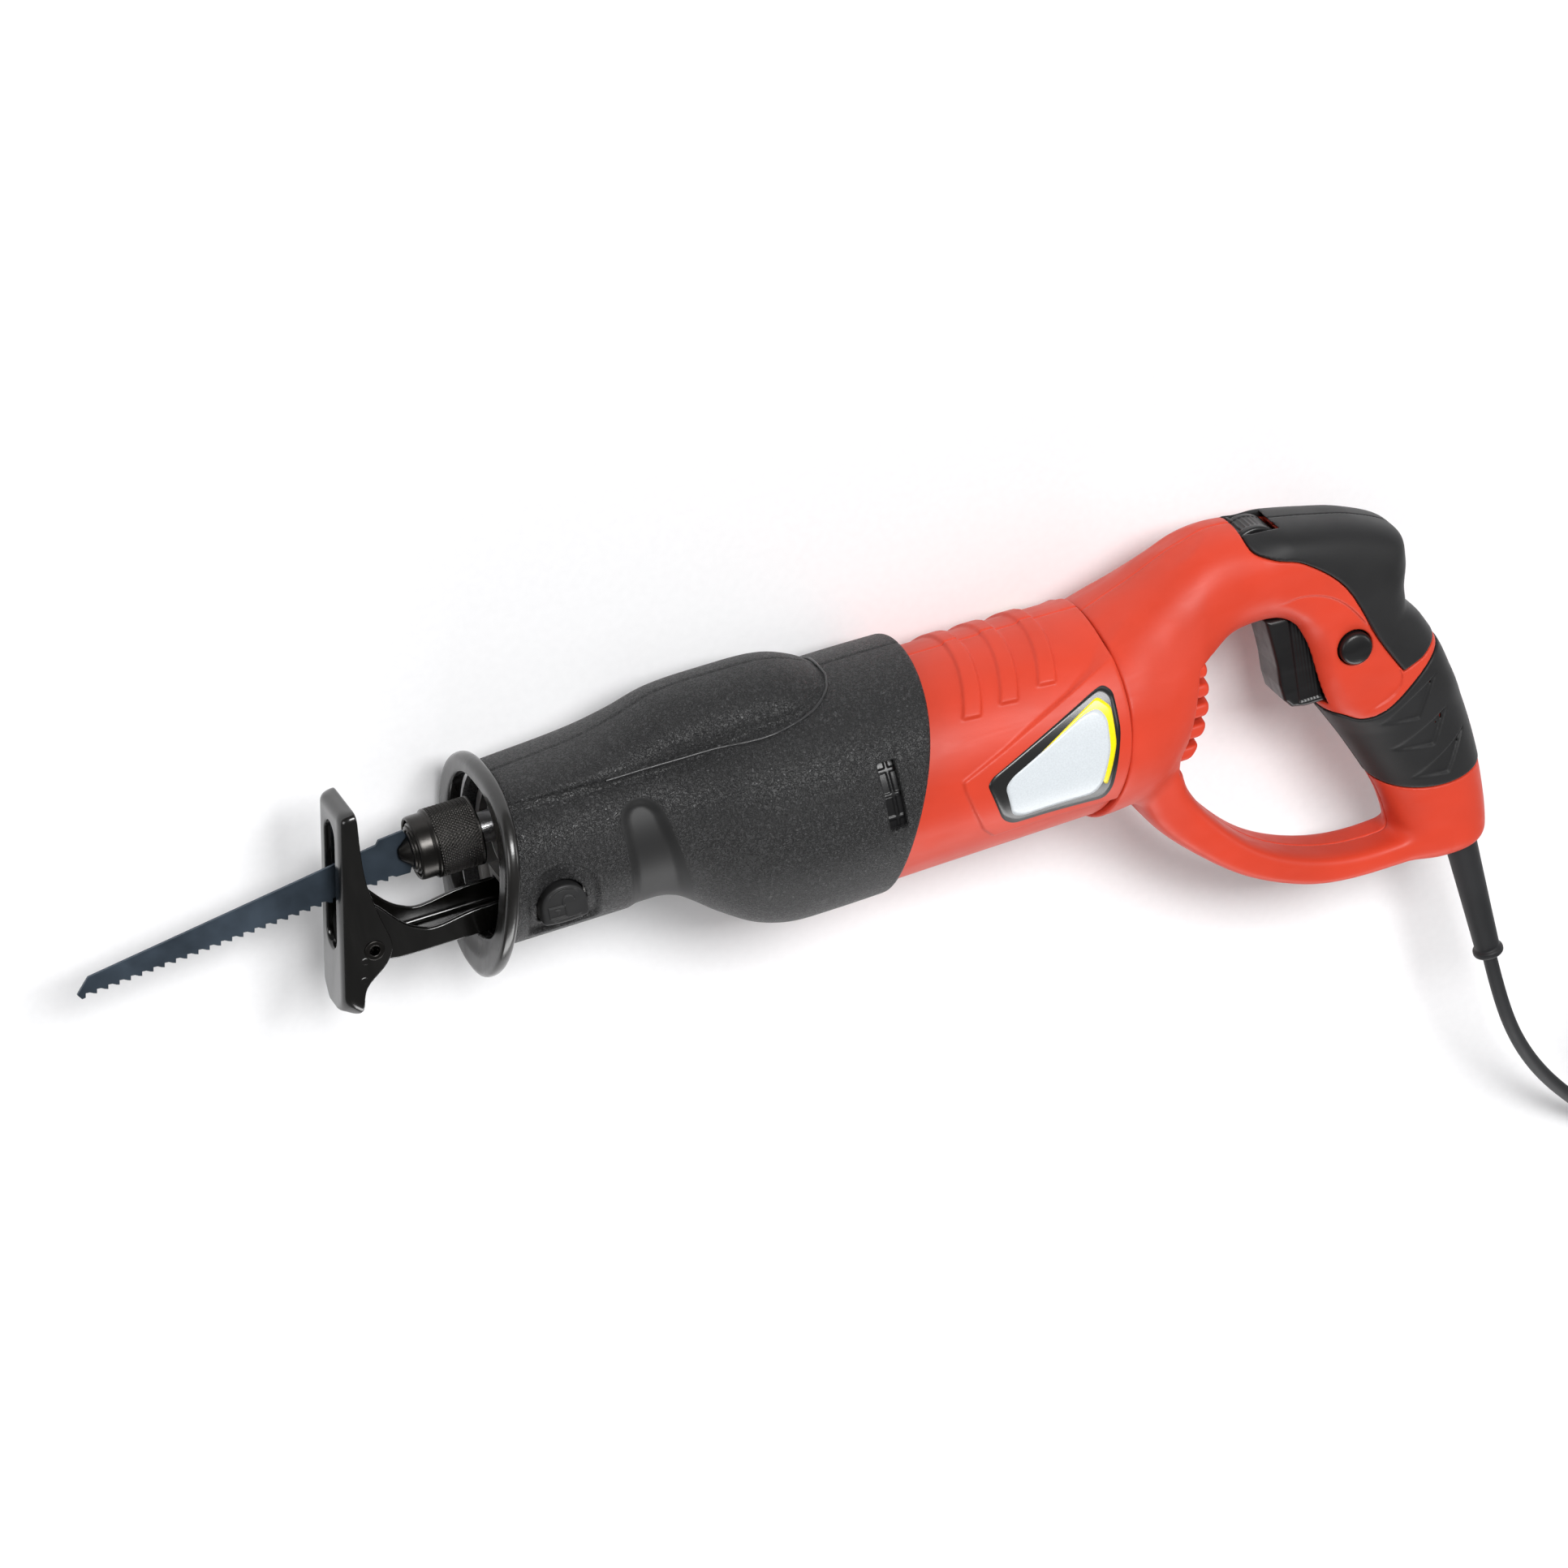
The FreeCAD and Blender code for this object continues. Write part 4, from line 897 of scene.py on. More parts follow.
def mirror_pair(name, g, field, mat, node, right_field=None):
    """Left and right halves from one field over the left half."""
    made = field_object(name + "_left", g, field, mat, "root", (node + "_left",))
    if right_field is None:
        mesh = made.data.copy()
    else:
        other = field_object(name + "_scratch", g, right_field, mat, "root")
        mesh = other.data.copy()
        bpy.data.objects.remove(other)
    middle = ORIGIN.z
    mesh.transform(Matrix.Translation((0, 0, 2 * middle)) @ Matrix.Scale(-1, 4, (0, 0, 1)))
    mesh.flip_normals()
    mesh.name = name + "_right"
    obj = bpy.data.objects.new(name + "_right", mesh)
    bpy.context.scene.collection.objects.link(obj)
    finish_piece(obj, "root", (node + "_right",))


def rounded(points, radius=1.6, steps=5):
    """A polygon with its corners turned to arcs, as closely spaced points."""
    out = []
    for before, here, after in zip(points[-1:] + points[:-1], points, points[1:] + points[:1]):
        p, a, b = np.array(here), np.array(before) - here, np.array(after) - here
        reach = min(radius, 0.45 * np.hypot(*a), 0.45 * np.hypot(*b))
        start, end = p + a / np.hypot(*a) * reach, p + b / np.hypot(*b) * reach
        for i in range(steps + 1):
            t = i / steps
            out.append((1 - t) ** 2 * start + 2 * t * (1 - t) * p + t * t * end)
    return np.array(out)


def densify(points, step=1.2):
    out = []
    for a, b in zip(points, np.roll(points, -1, 0)):
        count = max(1, int(np.hypot(*(b - a)) / step))
        out += [a + (b - a) * i / count for i in range(count)]
    return np.array(out)


def film_points(outline, lift, rings=12):
    """A patch of film on the label panel: its outline in (x, arc) millimetres, from the middle out."""
    middle = outline.mean(0)
    rows = []
    for i in range(rings + 3):
        share = min(1.0, (i + 0.02) / rings)
        flat = middle + (outline - middle) * share
        x, angle = flat[:, 0], np.degrees(flat[:, 1] / 42.0)
        under = 0.0 if i <= rings else 0.25 * (i - rings)
        radius = housing_radius(x) + panel_rise(x, angle) + lift - under
        rows.append(np.stack([x, MOTOR_Y + radius * np.cos(np.radians(angle)),
                              radius * np.sin(np.radians(angle))], 1))
    return np.array(rows)


def make_labels():
    arc = math.radians(1) * 42.0
    border = [(x, angle * arc) for x, angle in LABEL]
    silver = [(193.5, 100), (192.6, 92), (196, 87.5), (229, 67), (234.5, 66), (237.0, 72), (236.0, 88),
              (231.5, 107), (228.0, 112.5), (198.5, 113.0), (194.5, 110)]
    yellow = [(200, 86.0), (228, 65.5), (235.5, 60.5), (239.6, 67), (238.6, 86), (233.4, 108.5),
              (231.8, 107), (235.6, 90), (235, 72), (231, 69)]
    pieces = [(border, 2.6, 0.22, LABEL_BLACK), ([(x, a * arc) for x, a in yellow], 1.6, 0.27, LABEL_YELLOW),
              ([(x, a * arc) for x, a in silver], 2.4, 0.32, LABEL_SILVER)]
    for side, name in ((1, "label_left"), (-1, "label_right")):
        base = None
        for number, (outline, radius, lift, mat) in enumerate(pieces):
            points = film_points(densify(rounded(outline, radius)), lift)
            points[..., 2] *= side
            if side > 0:
                points = points[:, ::-1]
            title = name if number == 0 else "%s_print_%d" % (name, number)
            obj = grid_object(title, points, mat, "root", around=True, caps=True)
            base = base or obj
        if side > 0:
            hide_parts("side_labels")


# ---------------------------------------------------------------- handle
# chords of the grip arch from its outer to its inner side: (outer x, y, inner x, y, half width)
ARCH = [(226, 33.0, 226, -48.5, 42.2), (240, 33.0, 240, -48.0, 42),
        (247, 34.5, 247, -47.5, 41.6), (258, 38.3, 257, -46.8, 39.5),
        (270, 42.3, 268, -40.5, 35), (282, 46.2, 280, -26, 29), (293, 49.3, 288, -5, 24.5),
        (304, 50.3, 300, 6.3, 21.8), (322, 47.5, 320, 8.5, 20.6), (345, 42.4, 327.5, 4.5, 20.5),
        (362, 37.4, 329.5, -0.5, 20.5), (376.8, 28.8, 330.8, -5.5, 20.4), (378.0, 20, 331.8, -11, 20.2),
        (376.0, 9, 332.6, -16.5, 20), (375.8, 1.5, 333.3, -21, 19.8), (382.0, -8.5, 334, -26.5, 19.3),
        (388.2, -22, 336, -34, 18.7), (391.8, -34, 341.5, -45, 18.2), (395.6, -47, 347.5, -57, 17.6),
        (399.9, -75, 357.5, -81, 17.2), (400.6, -95, 360.5, -97, 17.5), (398.5, -119, 362, -117, 16.5)]
GUARD = [(256, -30, -62, 13, 26), (262, -38, -58, 12, 22), (268, -55, -54, 10, 17.5),
         (281, -73, -45, 8, 14.8), (300, -90.5, -33, 6.6, 14.2), (325, -102.2, -17, 6.2, 14),
         (350, -106, -3, 6.2, 14), (378, -105, 3, 6.8, 14.5)]
HANDLE_END = -112.2
UPPER_GRIP = curved([(312, 52), (313, 43), (321, 37.5), (333, 32.5), (348, 18), (359, -8), (368, -25)],
                    closed=False) + [(377, -22), (402, -7), (402, 60), (313, 60)]
LOWER_GRIP = curved([(328, -33), (341, -37), (350, -41), (362, -38), (378, -26), (404, -5)], closed=False)
LOWER_GRIP += curved([(412, -75), (396, -78), (379, -79), (361, -76), (350, -70)], closed=False)
# the three marks on the lower grip
LIGHTNING = [[(381.6, -30.4), (354.9, -45.3), (372.4, -47.5)],
             [(385.3, -46.2), (358.9, -58.0), (377.3, -60.8)],
             [(392.0, -58.5), (365.9, -72.5), (382.0, -74.5)]]
TRIGGER_STEP = curved([(310, -40), (311, 8), (325, 18.5), (341, 15), (353, 1), (366, -27), (350, -37)])
ROOF_TOP = [(240, 33.0), (245, 34.5), (262, 39.3), (280, 45.2), (300, 50.3), (308, 56), (420, 90)]
ROOF_FALL = [(240, 0.40), (248, 0.38), (267, 0.28), (283, 0.22), (294, 0.10), (303, 0.0), (420, 0.0)]
OUTLET_LOW, OUTLET_HIGH = -40.0, 8.0      # heights between which the air outlet lies
OUTLET_WALL_X = 280.0                     # the dished wall at Y = 0
OUTLET_LEAN = 0.24                        # how far the wall leans back per mm of height
FIN_REACH = 290.0                         # how far back the top fin comes
FIN_DROP = 16.0                           # how much less the lowest fin reaches
FIN_COUNT = 6
FIN_PITCH = 8.0
FIN_HALF = 2.7
SCREWS = [(270, 30), (264, -31), (303, 17), (330, 18), (352, -35.4), (383, -95), (300, -90.5)]
DIAL = (318.5, 37.0)
LOCK = (349.2, -8.7)
RELIEF_TOP = (389.2, -106.0)
RELIEF_END = (396.6, -168.4)
GRIP_SKIN = 2.6


def guard_chords():
    chords = []
    for x, y, angle, half, width in GUARD:
        nx, ny = -math.sin(math.radians(angle)) * half, math.cos(math.radians(angle)) * half
        chords.append((x - nx, y - ny, x + nx, y + ny, width))
    return chords


def handle_form(g):
    """The arch alone, and the whole handle with its guard, before anything is cut from them."""
    arch_way = Chords(g, ARCH)
    boxy = ramp(g.x, 316, 330) * ramp(g.y, -50, -34)
    crown = 2.5 * (1 - ramp(g.x, 262, 300)) * ramp(g.y, 0, 26)
    arch = arch_way.field(g.z, 2.25 + 1.0 * boxy) + crown
    roof = np.interp(g.x.ravel(), *zip(*ROOF_TOP)).astype(np.float32)[:, None, None]
    fall = np.interp(g.x.ravel(), *zip(*ROOF_FALL)).astype(np.float32)[:, None, None]
    face = (g.y - roof + fall * np.abs(g.z)) / np.sqrt(1 + fall ** 2)
    arch = both(arch, face, 0.3)
    guard_way = Chords(g, guard_chords())
    guard = guard_way.field(g.z, 4.5)
    guard = both(guard, np.where(g.x > 376, g.x - 376, -5), 1.0)
    guard = both(guard, np.where(g.x < 300, 252 - g.x, -5), 1.0)
    whole = join(arch, guard, 5.0)
    return arch, both(whole, HANDLE_END - g.y, 7.0)


def sink_marks(g, grip):
    """Sinks the marks into the grip's side, deeper towards their rear ends."""
    for points in LIGHTNING:
        mark = outline_field(g.x, g.y, points, 0.0)
        back_x = max(p[0] for p in points)
        depth = 0.35 + 0.85 * ramp(g.x, back_x - 26, back_x - 2)
        grip = grip + depth * ramp(-mark, -0.2, 0.9) * (g.z > 4)
    return grip


def cut_air_outlet(g, shell):
    """A dished inner wall, with a pocket into the housing and rounded fins across it."""
    wall = OUTLET_WALL_X + OUTLET_LEAN * g.y
    below = np.clip((OUTLET_HIGH - 5 - g.y) / (OUTLET_HIGH - 5 - OUTLET_LOW), 0, 1)
    reach = FIN_REACH - FIN_DROP * below ** 3 + 0.007 * (144 - g.z ** 2)
    ends = np.abs(g.y - (OUTLET_LOW + OUTLET_HIGH) / 2) - (OUTLET_HIGH - OUTLET_LOW) / 2
    front = g.x - 300
    shell = cut(shell, both(both(wall - g.x, ends, 3.0), front), 0.7)
    pocket = both(both(256 - g.x, np.abs(g.z) - 17, 1.5), both(ends + 2, front), 1.0)
    shell = cut(shell, pocket, 0.8)
    for i in range(FIN_COUNT):
        fin = both(np.abs(g.y - OUTLET_HIGH + 0.5 + FIN_PITCH * i) - FIN_HALF, np.abs(g.z) - 16.2, 1.8)
        fin = both(both(fin, g.x - reach, 2.6), both(258 - g.x, ends + 0.3, 0.8))
        shell = join(shell, fin, 0.3)
    return shell


def make_handle():
    g = Block((227, -122, -1.2), (405, 60, 44), 0.6)
    arch, whole = handle_form(g)
    # flat face round the trigger and lock button
    flat = outline_field(g.x, g.y, TRIGGER_STEP, 1.0)
    flat = both(flat, 19.0 + 0.035 * (g.y - 5) - g.z)
    shell = cut(whole, flat, 0.7)
    grips = {}
    for name, outline in (("upper_grip", UPPER_GRIP), ("lower_grip", LOWER_GRIP)):
        edge = outline_field(g.x, g.y, outline, 0.0)
        grips[name] = both(both(whole - 0.35, edge + 0.25, 1.0), -(whole + GRIP_SKIN - 0.1), 0.3)
        shell = cut(shell, both(-(whole + GRIP_SKIN), edge - 0.15), 0.3)
    grips["lower_grip"] = sink_marks(g, grips["lower_grip"])
    hollow = arch + 3.0 + GRIP_SKIN
    hollow = both(hollow, -100 - g.y)
    hollow = cut(hollow, box_field(g, (276, 3, -50), (304, 16, 50), 2.0), 0.5)      # web above the air outlet
    shell = cut(shell, hollow, 0.5)
    shell = cut(shell, rod_field(np.hypot(g.y - MOTOR_Y, g.z), g.x, 225, 256, 37), 0.3)
    seam = seam_x(g.y) + 0.35 - g.x
    shell = both(shell, seam, 1.4)
    shell = cut_air_outlet(g, shell)
    mouth = box_field(g, (314, -32.4, -12), (346, 9, 11.9), 1.0)
    shell = cut(shell, mouth, 0.5)
    shell = cut(shell, rod_field(np.hypot(g.x - DIAL[0], g.y - DIAL[1]), g.z, -8.7, 8.7, 12.0), 0.5)
    shell = cut(shell, rod_field(*relief_distance(g), -30, 8, 7.3), 0.6)
    parting = 0.4 * np.exp(-(g.z / 0.35) ** 2)
    shell = both(shell + parting, 0.12 - g.z, 0.3)
    dish = np.sqrt((g.x - LOCK[0]) ** 2 + (g.y - LOCK[1]) ** 2 + (g.z - 44.5) ** 2) - 26.9
    lock_hole = rod_field(np.hypot(g.x - LOCK[0], g.y - LOCK[1]), g.z, 10, 60, 7.35)
    left_shell = cut(cut(shell, dish, 1.2), lock_hole, 0.5)
    right_shell = shell
    for x, y in SCREWS:
        radial = np.hypot(g.x - x, g.y - y)
        post = both(rod_field(radial, g.z, 0.2, 26, 5.6), whole + 1.0)
        right_shell = join(right_shell, post, 1.0)
        right_shell = cut(right_shell, rod_field(radial, g.z, 12.0, 60, 4.1), 0.5)
    mirror_pair("handle_shell", g, left_shell, RED_PLASTIC, "handle", right_shell)
    well = rod_field(np.hypot(g.x - DIAL[0], g.y - DIAL[1]), g.z, -9.6, 9.6, 12.9)
    for name, field in grips.items():
        field = both(cut(field, well, 0.4) if name == "upper_grip" else field, 0.08 - g.z, 0.25)
        mirror_pair(name + "_skin", g, field, GRIP_RUBBER, name)


def relief_distance(g):
    """Distance from the strain relief's axis, and place along it from its top."""
    ax, ay = RELIEF_END[0] - RELIEF_TOP[0], RELIEF_END[1] - RELIEF_TOP[1]
    length = math.hypot(ax, ay)
    ax, ay = ax / length, ay / length
    dx, dy = g.x - RELIEF_TOP[0], g.y - RELIEF_TOP[1]
    along = dx * ax + dy * ay
    side = dx * ay - dy * ax
    return np.hypot(side, g.z), along


def make_strain_relief():
    g = Block((380, -172, -7.6), (404, -98, 7.6), 0.35)
    radial, along = relief_distance(g)
    length = math.hypot(RELIEF_END[0] - RELIEF_TOP[0], RELIEF_END[1] - RELIEF_TOP[1])
    radius = 6.9 - 1.9 * np.clip(along / length, 0, 1) ** 0.8
    body = both(radial - radius, np.abs(along - length / 2 + 2.5) - length / 2 - 2.4, 1.0)
    bead = rod_field(radial, along, length - 3.2, length, 6.2, 1.2)
    body = join(body, bead, 0.8)
    body = cut(body, both(radial - CORD_R - 0.15, length - 2 - along), 0.3)
    field_object("strain_relief_sleeve", g, body, CORD_SHEATH, "root", ("strain_relief",))


def make_trigger():
    g = Block((313, -33, -12.5), (341, 11, 12.5), 0.35)
    outline = [(317.8, 8.5), (319.4, -4), (320.2, -12), (320.2, -20), (321.2, -26.5), (323.8, -29.8),
               (329, -31.0), (337.4, -31.2), (337.4, 7.2), (329, 8.0)]
    body = both(outline_field(g.x, g.y, outline, 0.4), np.abs(g.z) - 10.6, 2.6)
    body = both(body, g.x - 337.4, 0.2)
    # the sides step in behind the finger face, and carry fine upright ribs
    behind = ramp(g.x, 326.2, 327.0) * ramp(g.y, -29.5, -28)
    ribs = 0.12 * np.cos(2 * math.pi * g.x / 1.3)
    body = body + behind * (0.75 + ribs) * (np.abs(g.z) > 7)
    field_object("trigger_paddle", g, body, BLACK_PLASTIC, "trigger_body", ("trigger",))


def make_lock_button():
    g = Block((LOCK[0] - 8, LOCK[1] - 8, 10), (LOCK[0] + 8, LOCK[1] + 8, 23), 0.35)
    radial = np.hypot(g.x - LOCK[0], g.y - LOCK[1])
    dome = np.sqrt(radial ** 2 + (g.z - 1.6) ** 2) - 20.0
    cap = both(both(radial - 6.75, dome, 1.6), 16.8 - g.z, 0.4)
    stem = rod_field(radial, g.z, 11.4, 18.0, 4.9, 0.3)
    field_object("lock_on_button", g, join(cap, stem, 0.4), BLACK_PLASTIC, "lock_button_body",
                 ("lock_button",))


def make_dial():
    g = Block((DIAL[0] - 12, DIAL[1] - 12, -8.6), (DIAL[0] + 12, DIAL[1] + 12, 8.6), 0.35)
    dx, dy = g.x - DIAL[0], g.y - DIAL[1]
    radial = np.hypot(dx, dy)
    turn = np.arctan2(dy, dx)
    wheel = rod_field(radial, g.z, -7.8, 7.8, 11.0, 1.2)
    ribs = 0.45 * np.abs(np.sin(turn * 18)) ** 0.7 * (np.abs(g.z) < 4.6)
    wheel = wheel + ribs * (radial > 8)
    wheel = cut(wheel, radial - 1.55, 0.2)
    field_object("speed_wheel", g, wheel, BLACK_PLASTIC, "dial", ("speed_dial",))


# ---------------------------------------------------------------- nose
SHOE_FACE = (-61.5, 0.165)               # where the front face meets Y = 0, and its lean
SHOE_HALF = 14.5
PIVOT = (-50.7, -9.3)
SHOE_BACK = [(-47.5, 50), (-47.5, 43), (-48.5, 30), (-48.5, 17), (-46, 3), (-43.5, -9), (-47, -16.5),
             (-56, -24), (-59, -33), (-61.5, -35), (-65, -33.5)]
SHOE_RECESSES = ((-55.0, -12.8), (-56.7, -20.5))     # centres of the recesses in the shoe's sides
BRACKET_TOP = [(-52.5, 4), (-49.5, 7.5), (-46, 6.5), (-38, -3), (-32, -7.5), (-25, -9.5), (-10, -7.5),
               (5, -7.3), (46, -7.3)]
BRACKET_LOW = [(46, -17.7), (0, -17.7), (-35, -17.7), (-44, -17), (-51, -15), (-55.5, -11), (-55.5, -4.5)]


def make_shoe():
    g = Block((-72, -37, -16), (-41, 49, 16), 0.4)
    face = SHOE_FACE[0] + SHOE_FACE[1] * g.y
    front = (face - g.x) * 0.987
    side = np.abs(g.z) - SHOE_HALF
    plate = both(front, side, 5.0)
    plate = both(plate, g.y - 47, 3.5)
    low_slope = (-(g.y + 36.6) - 0.12 * (g.x + 62)) * 0.99
    plate = both(plate, low_slope, 2.5)
    corner = (-(g.y + 31.5) + 1.1 * (np.abs(g.z) - 12.5) - 0.9 * (g.x + 63)) * 0.55
    plate = both(plate, corner, 2.5)
    back = curved(SHOE_BACK, closed=False) + [(-90, -33.6), (-90, 50)]
    shape = outline_field(g.x, g.y, back)
    plate = both(plate, shape, 0.7)
    inside = both(both(face + 2.9 - g.x, np.abs(g.z) - SHOE_HALF + 2.2, 2.0), np.abs(g.y - 7.5) - 36.8, 1.5)
    plate = cut(plate, inside, 0.3)
    slot_end = np.maximum(np.abs(g.y - 15) - 19, 0)
    slot = np.hypot(slot_end, g.z) - 6.2
    plate = cut(plate, both(slot, g.x + 52), 0.9)
    plate = cut(plate, np.hypot(g.x - PIVOT[0], g.y - PIVOT[1]) - 3.2, 0.3)
    for x, y in SHOE_RECESSES:
        plate = cut(plate, rod_field(np.hypot(g.x - x, g.y - y), np.abs(g.z), SHOE_HALF - 0.25, 20, 1.3), 0.3)
    field_object("shoe_skin", g, plate, ENAMEL, "shoe", ("shoe_plate",))

    h = Block((PIVOT[0] - 5, PIVOT[1] - 5, -15.6), (PIVOT[0] + 5, PIVOT[1] + 5, 15.6), 0.22)
    radial = np.hypot(h.x - PIVOT[0], h.y - PIVOT[1])
    rivet = rod_field(radial, h.z, -14.9, 14.9, 2.95, 0.3)
    rivet = join(rivet, rod_field(radial, np.abs(h.z), 14.3, 15.1, 3.9, 0.4), 0.3)
    rivet = cut(rivet, rod_field(radial, np.abs(h.z), 9.0, 30.0, 1.9), 0.6)
    field_object("shoe_rivet", h, rivet, OXIDE_STEEL, "bracket", ("shoe_pivot_pin",))


def make_bracket():
    g = Block((-58, -19, -12), (47, 9, 12), 0.4)
    shape = outline_field(g.x, g.y, curved(BRACKET_TOP, closed=False) + curved(BRACKET_LOW, closed=False))
    body = both(shape, np.abs(g.z) - 11.0, 1.0)
    trough = both(both(-(g.y + 15.5), np.abs(g.z) - 8.8, 2.0), shape - 30)
    nose_gap = both(np.abs(g.z) - 8.8, g.x + 42, 2.0)
    body = cut(cut(body, trough, 0.4), nose_gap, 0.6)
    body = cut(body, np.hypot(g.x - PIVOT[0], g.y - PIVOT[1]) - 3.0)
    field_object("bracket_channel", g, body, ENAMEL, "bracket", ("shoe_bracket",))


def lathe_points(profile, around, ripple=None):
    """Points of a turned part about the plunger's axis, from (x, radius) pairs."""
    turn = np.linspace(0, 2 * math.pi, around, endpoint=False)
    rows = []
    for x, radius in profile:
        r = radius + (ripple(x, turn) if ripple else 0)
        rows.append(np.stack([np.full(around, x), PLUNGER_Y + r * np.cos(turn), r * np.sin(turn)], 1))
    return np.array(rows)


def make_collar():
    """The turning sleeve: a smooth front ring and a diamond-knurled grip."""
    low, high = -18.6, -1.8
    pitch = 2 * math.pi / 66

    def knurl(x, turn):
        if not low < x < high:
            return 0.0
        rise = (x - low) / 13.3 * 0.8
        one = np.abs(((turn + rise) / pitch) % 1 - 0.5)
        two = np.abs(((turn - rise) / pitch) % 1 - 0.5)
        fade = min(1.0, (x - low) / 0.8, (high - x) / 0.8)
        return 0.62 * fade * (np.minimum(one, two) * 2 - 0.9)

    front = [(-19.9, 11.0), (-25.4, 11.0), (-25.9, 11.2), (-26.0, 11.6), (-25.7, 12.0), (-25.1, 12.2),
             (-24.2, 12.3), (-20.6, 12.3), (-20.0, 12.35), (-19.6, 12.7), (-19.3, 13.1), (-18.9, 13.3)]
    grip = [(x, 13.3) for x in np.arange(-18.6, -1.7, 0.2)]
    rear = [(-1.5, 13.3), (-1.1, 13.0), (-1.0, 12.4), (-1.0, 11.0), (-8.0, 11.0)]
    points = lathe_points(front + grip + rear, 462, knurl)[::-1]
    grid_object("collar_sleeve", points, OXIDE_STEEL, "clamp_sleeve", ("clamp_collar",),
                around=True, loop=True)


def make_clamp():
    g = Block((-33, 7.5, -11.6), (0, 30.5, 11.6), 0.3)
    radial = np.hypot(g.y - PLUNGER_Y, g.z)
    body = rod_field(radial, g.x, -24, -1, 9.0)
    body = join(body, rod_field(radial, g.x, -4, -1, 10.9, 0.3))
    for start, radius in ((-24.6, 10.9), (-25.6, 9.9), (-26.6, 8.9), (-27.5, 7.9)):
        body = join(body, rod_field(radial, g.x, start, -22, radius, 0.35), 0.12)
    cone = both(both(radial - (1.9 + (g.x + 32.6) * 0.86), g.x + 26, 0.2), -32.0 - g.x, 1.0)
    body = join(body, cone, 0.15)
    body = cut(body, both(np.abs(g.z) - 0.75, g.x + 26.9), 0.2)
    body = cut(body, both(both(np.abs(g.z) - 0.75, np.abs(g.y - PLUNGER_Y) - 6.6), g.x + 9))
    field_object("clamp_nose", g, body, OXIDE_STEEL, "plunger", ("blade_clamp_body",))


# ---------------------------------------------------------------- screws, plug and tie
def make_screws():
    g = Block((-4, -4, -15.4), (4, 4, 8), 0.25)
    radial = np.hypot(g.x, g.y)
    head = both(rod_field(radial, g.z, -15.1, -12.05, 3.5, 0.5),
                np.sqrt(radial ** 2 + (g.z + 10.6) ** 2) - 4.9, 0.5)
    cross = np.minimum(both(np.abs(g.x) - 0.45, np.abs(g.y) - 2.0),
                       both(np.abs(g.y) - 0.45, np.abs(g.x) - 2.0))
    head = cut(head, both(cross, g.z + 13.6), 0.2)
    thread = 0.22 * np.abs(((g.z / 1.2 + np.arctan2(g.y, g.x) / (2 * math.pi)) % 1) * 2 - 1)
    shank = both(radial - 2.0 + thread, np.abs(g.z + 2.1) - 9.9, 0.3)
    first = None
    for number, (x, y) in enumerate(SCREWS):
        if first is None:
            first = field_object("housing_screw_0", g, join(head, shank, 0.2), OXIDE_STEEL, "root",
                                 ("housing_screws",))
            template = first.data.copy()
            first.data.transform(Matrix.Translation((x * MM, y * MM, 0)))
            continue
        mesh = template.copy()
        mesh.transform(Matrix.Translation((x * MM, y * MM, 0)))
        obj = bpy.data.objects.new("housing_screw_%d" % number, mesh)
        bpy.context.scene.collection.objects.link(obj)
        finish_piece(obj, "root")


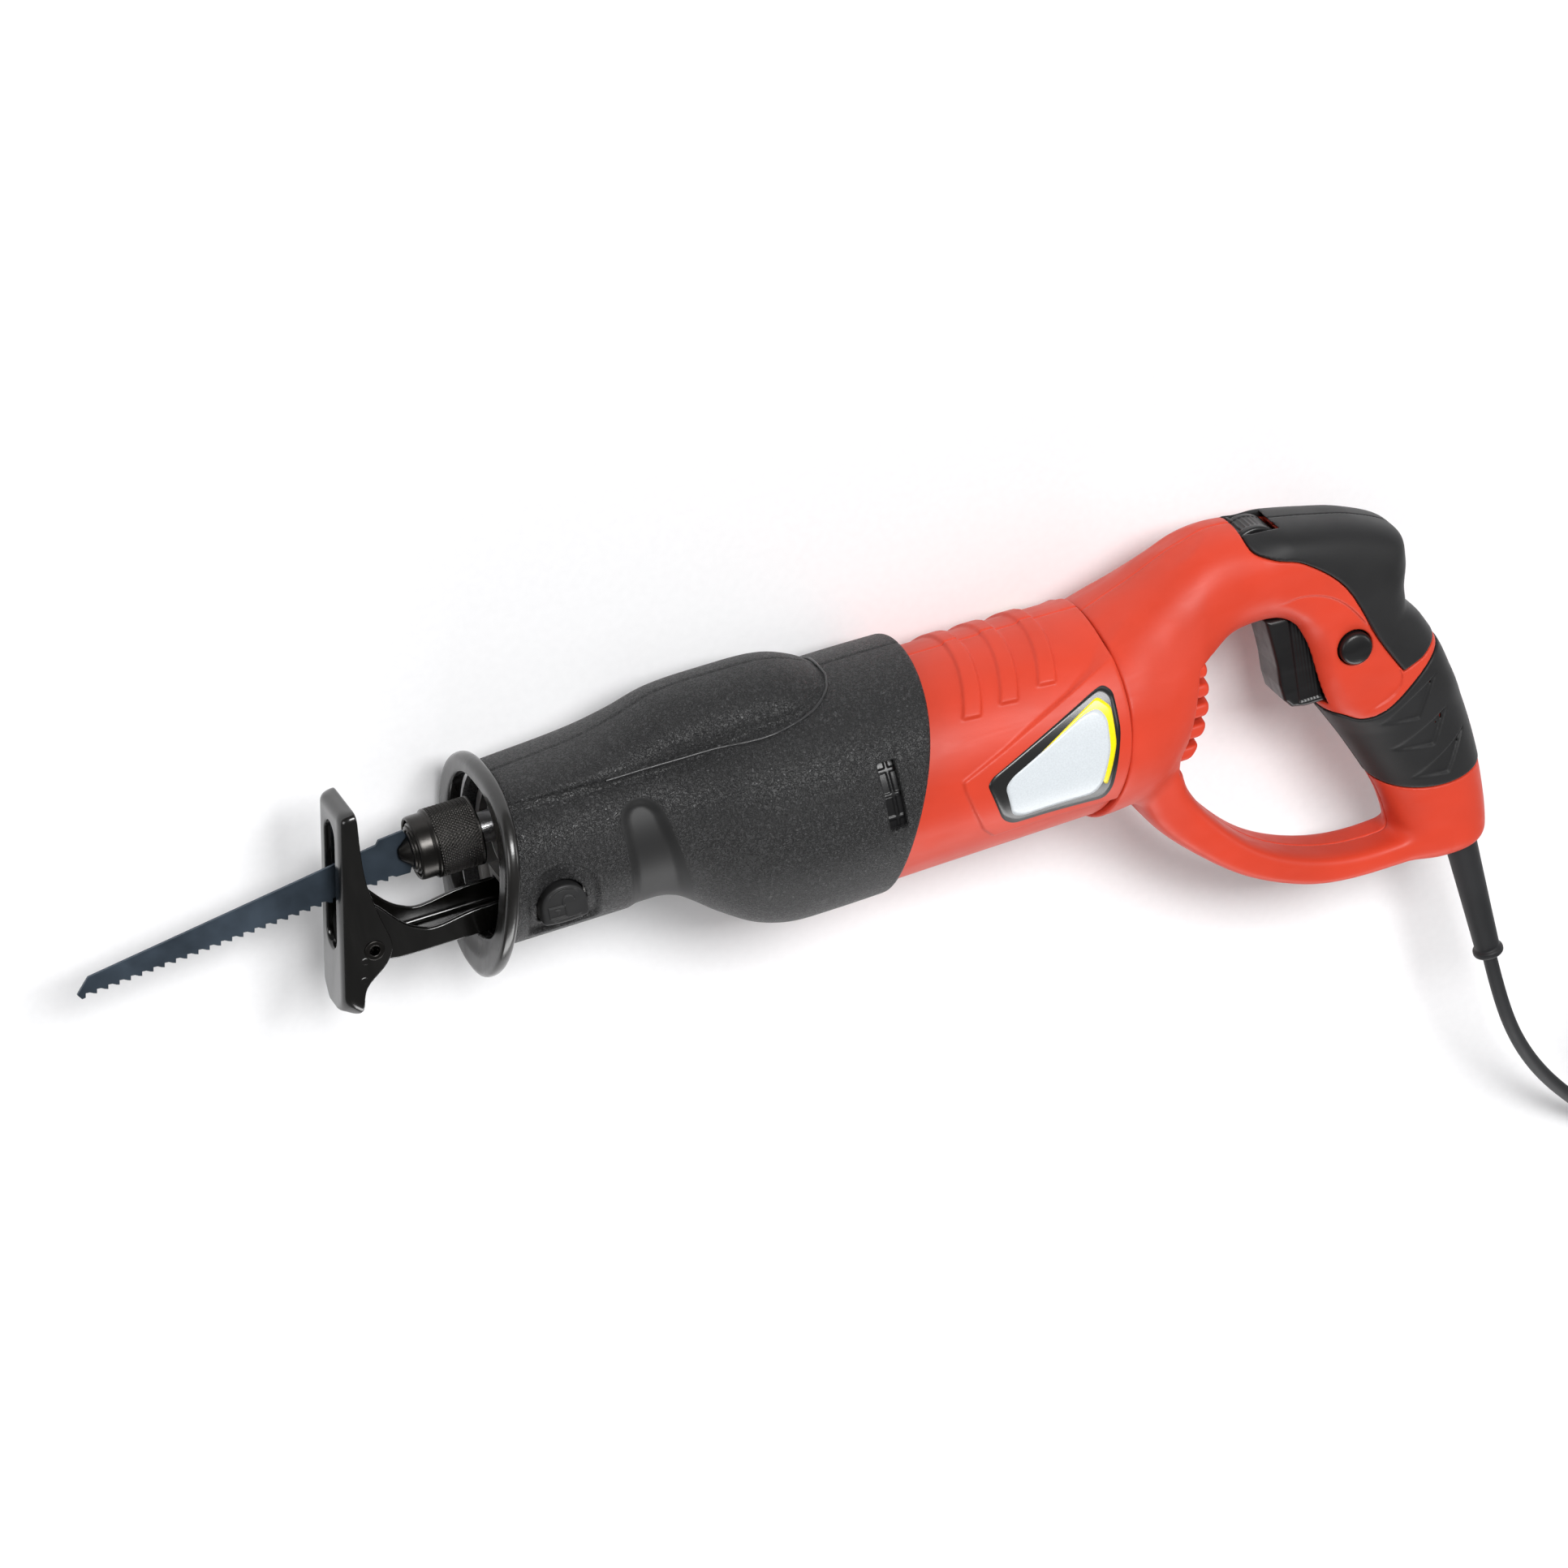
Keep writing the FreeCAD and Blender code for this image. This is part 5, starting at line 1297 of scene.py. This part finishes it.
def make_plug():
    x0 = COIL_CENTRE[0] + COIL_MEAN_R + CORD_R * (LAYERS - 1)
    z0 = FLOOR + PLUG_HEIGHT
    y0 = COIL_CENTRE[1] + PLUG_DISTANCE
    g = Block((x0 - 20, y0 - 1, z0 - 19.6), (x0 + 20, y0 + 60, z0 + 20), 0.6)
    dx, dz, along = g.x - x0, g.z - z0, g.y - y0
    radial = np.hypot(dx, dz)
    turn = np.arctan2(dz, dx)
    face = rod_field(radial, along, 37, 58, 18.8, 1.6)
    flats = np.where(along < 53, 0.8 * np.maximum(np.cos(turn * 12), -0.2), 0.0)
    waist = both(radial - (9.5 + 9.0 * ramp(along, 22, 41)), np.abs(along - 31) - 10.0, 1.5)
    sleeve = both(radial - (4.4 + 0.16 * along), np.abs(along - 13) - 13.0, 0.6)
    rings = 0.7 * ramp(np.cos(along * 2 * math.pi / 4.2), 0.3, 0.8) * ((along > 2) & (along < 20))
    body = join(join(face + 0.5 * flats, waist, 2.0), sleeve + rings, 1.5)
    body = cut(body, both(radial - 17.0, 57.2 - along), 0.3)
    for side in (-1, 1):
        key = np.hypot(dx, dz - side * 19.5) - 3.4
        body = cut(body, both(key, 40 - along), 0.6)
    field_object("plug_shell", g, body, CORD_SHEATH, "root", ("plug_body",))
    h = Block((x0 - 12.4, y0 + 54, z0 - 3), (x0 + 12.4, y0 + 77.5, z0 + 3), 0.3)
    across = np.abs(h.x - x0) - 9.5
    radial = np.hypot(across, h.z - z0)
    pins = rod_field(radial, h.y - y0, 55, 77, 2.4, 0.9)
    insulated = rod_field(radial, h.y - y0, 55, 59, 2.55, 0.2)
    field_object("plug_prongs", h, join(pins, insulated, 0.1), NICKEL, "root", ("plug_pins",))
    return [bpy.data.objects["plug_shell"], bpy.data.objects["plug_prongs"]]


def make_tie():
    """A flat hook-and-loop strap round the coil's winding."""
    outer = COIL_MEAN_R + CORD_R * LAYERS
    inner = COIL_MEAN_R - CORD_R * LAYERS
    height = 2 * CORD_R * COIL_ROWS
    low_x, high_x = COIL_CENTRE[0] - outer - TIE, COIL_CENTRE[0] - inner + TIE
    middle = COIL_CENTRE[1]
    g = Block((low_x - 1, middle - 5, FLOOR - 0.6), (high_x + 1, middle + 5, FLOOR + height + 4), 0.3)
    shape = box_field(g, (low_x, middle - 20, FLOOR + 0.02),
                      (high_x, middle + 20, FLOOR + height + 2 * TIE), 2.2)
    hole = box_field(g, (low_x + TIE - 0.02, COIL_CENTRE[1] - 30, FLOOR + TIE),
                     (high_x - TIE + 0.02, COIL_CENTRE[1] + 30, FLOOR + height + TIE), 1.0)
    wave = 0.12 * np.sin(g.x * 1.7) * np.sin(g.z * 1.3)
    band = both(cut(shape, hole), np.abs(g.y - COIL_CENTRE[1]) - 4.0 - wave, 0.4)
    field_object("coil_strap", g, band, GRIP_RUBBER, "root", ("cord_tie",))
    return [bpy.data.objects["coil_strap"]]


def declare_cord(lead, pieces):
    depsgraph = bpy.context.evaluated_depsgraph_get()
    plain = lead.data.copy()
    plain.bevel_depth = 0
    plain.resolution_u = 12
    line = bpy.data.objects.new("lead_line", plain)
    bpy.context.scene.collection.objects.link(line)
    depsgraph.update()
    mesh = line.evaluated_get(depsgraph).to_mesh()
    line.evaluated_get(depsgraph).to_mesh_clear()
    bpy.data.objects.remove(line)
    bpy.data.curves.remove(plain)


dress_cad_nodes()
add_camera()
add_studio()
lead = make_cord()
make_boot()
make_vent_baffle()
make_release_button()
make_flange()
make_motor_housing()
make_labels()
make_handle()
make_strain_relief()
make_trigger()
make_lock_button()
make_dial()
make_shoe()
make_bracket()
make_collar()
make_clamp()
make_screws()
declare_cord(lead, make_plug() + make_tie() + [bpy.data.objects["strain_relief_sleeve"]])
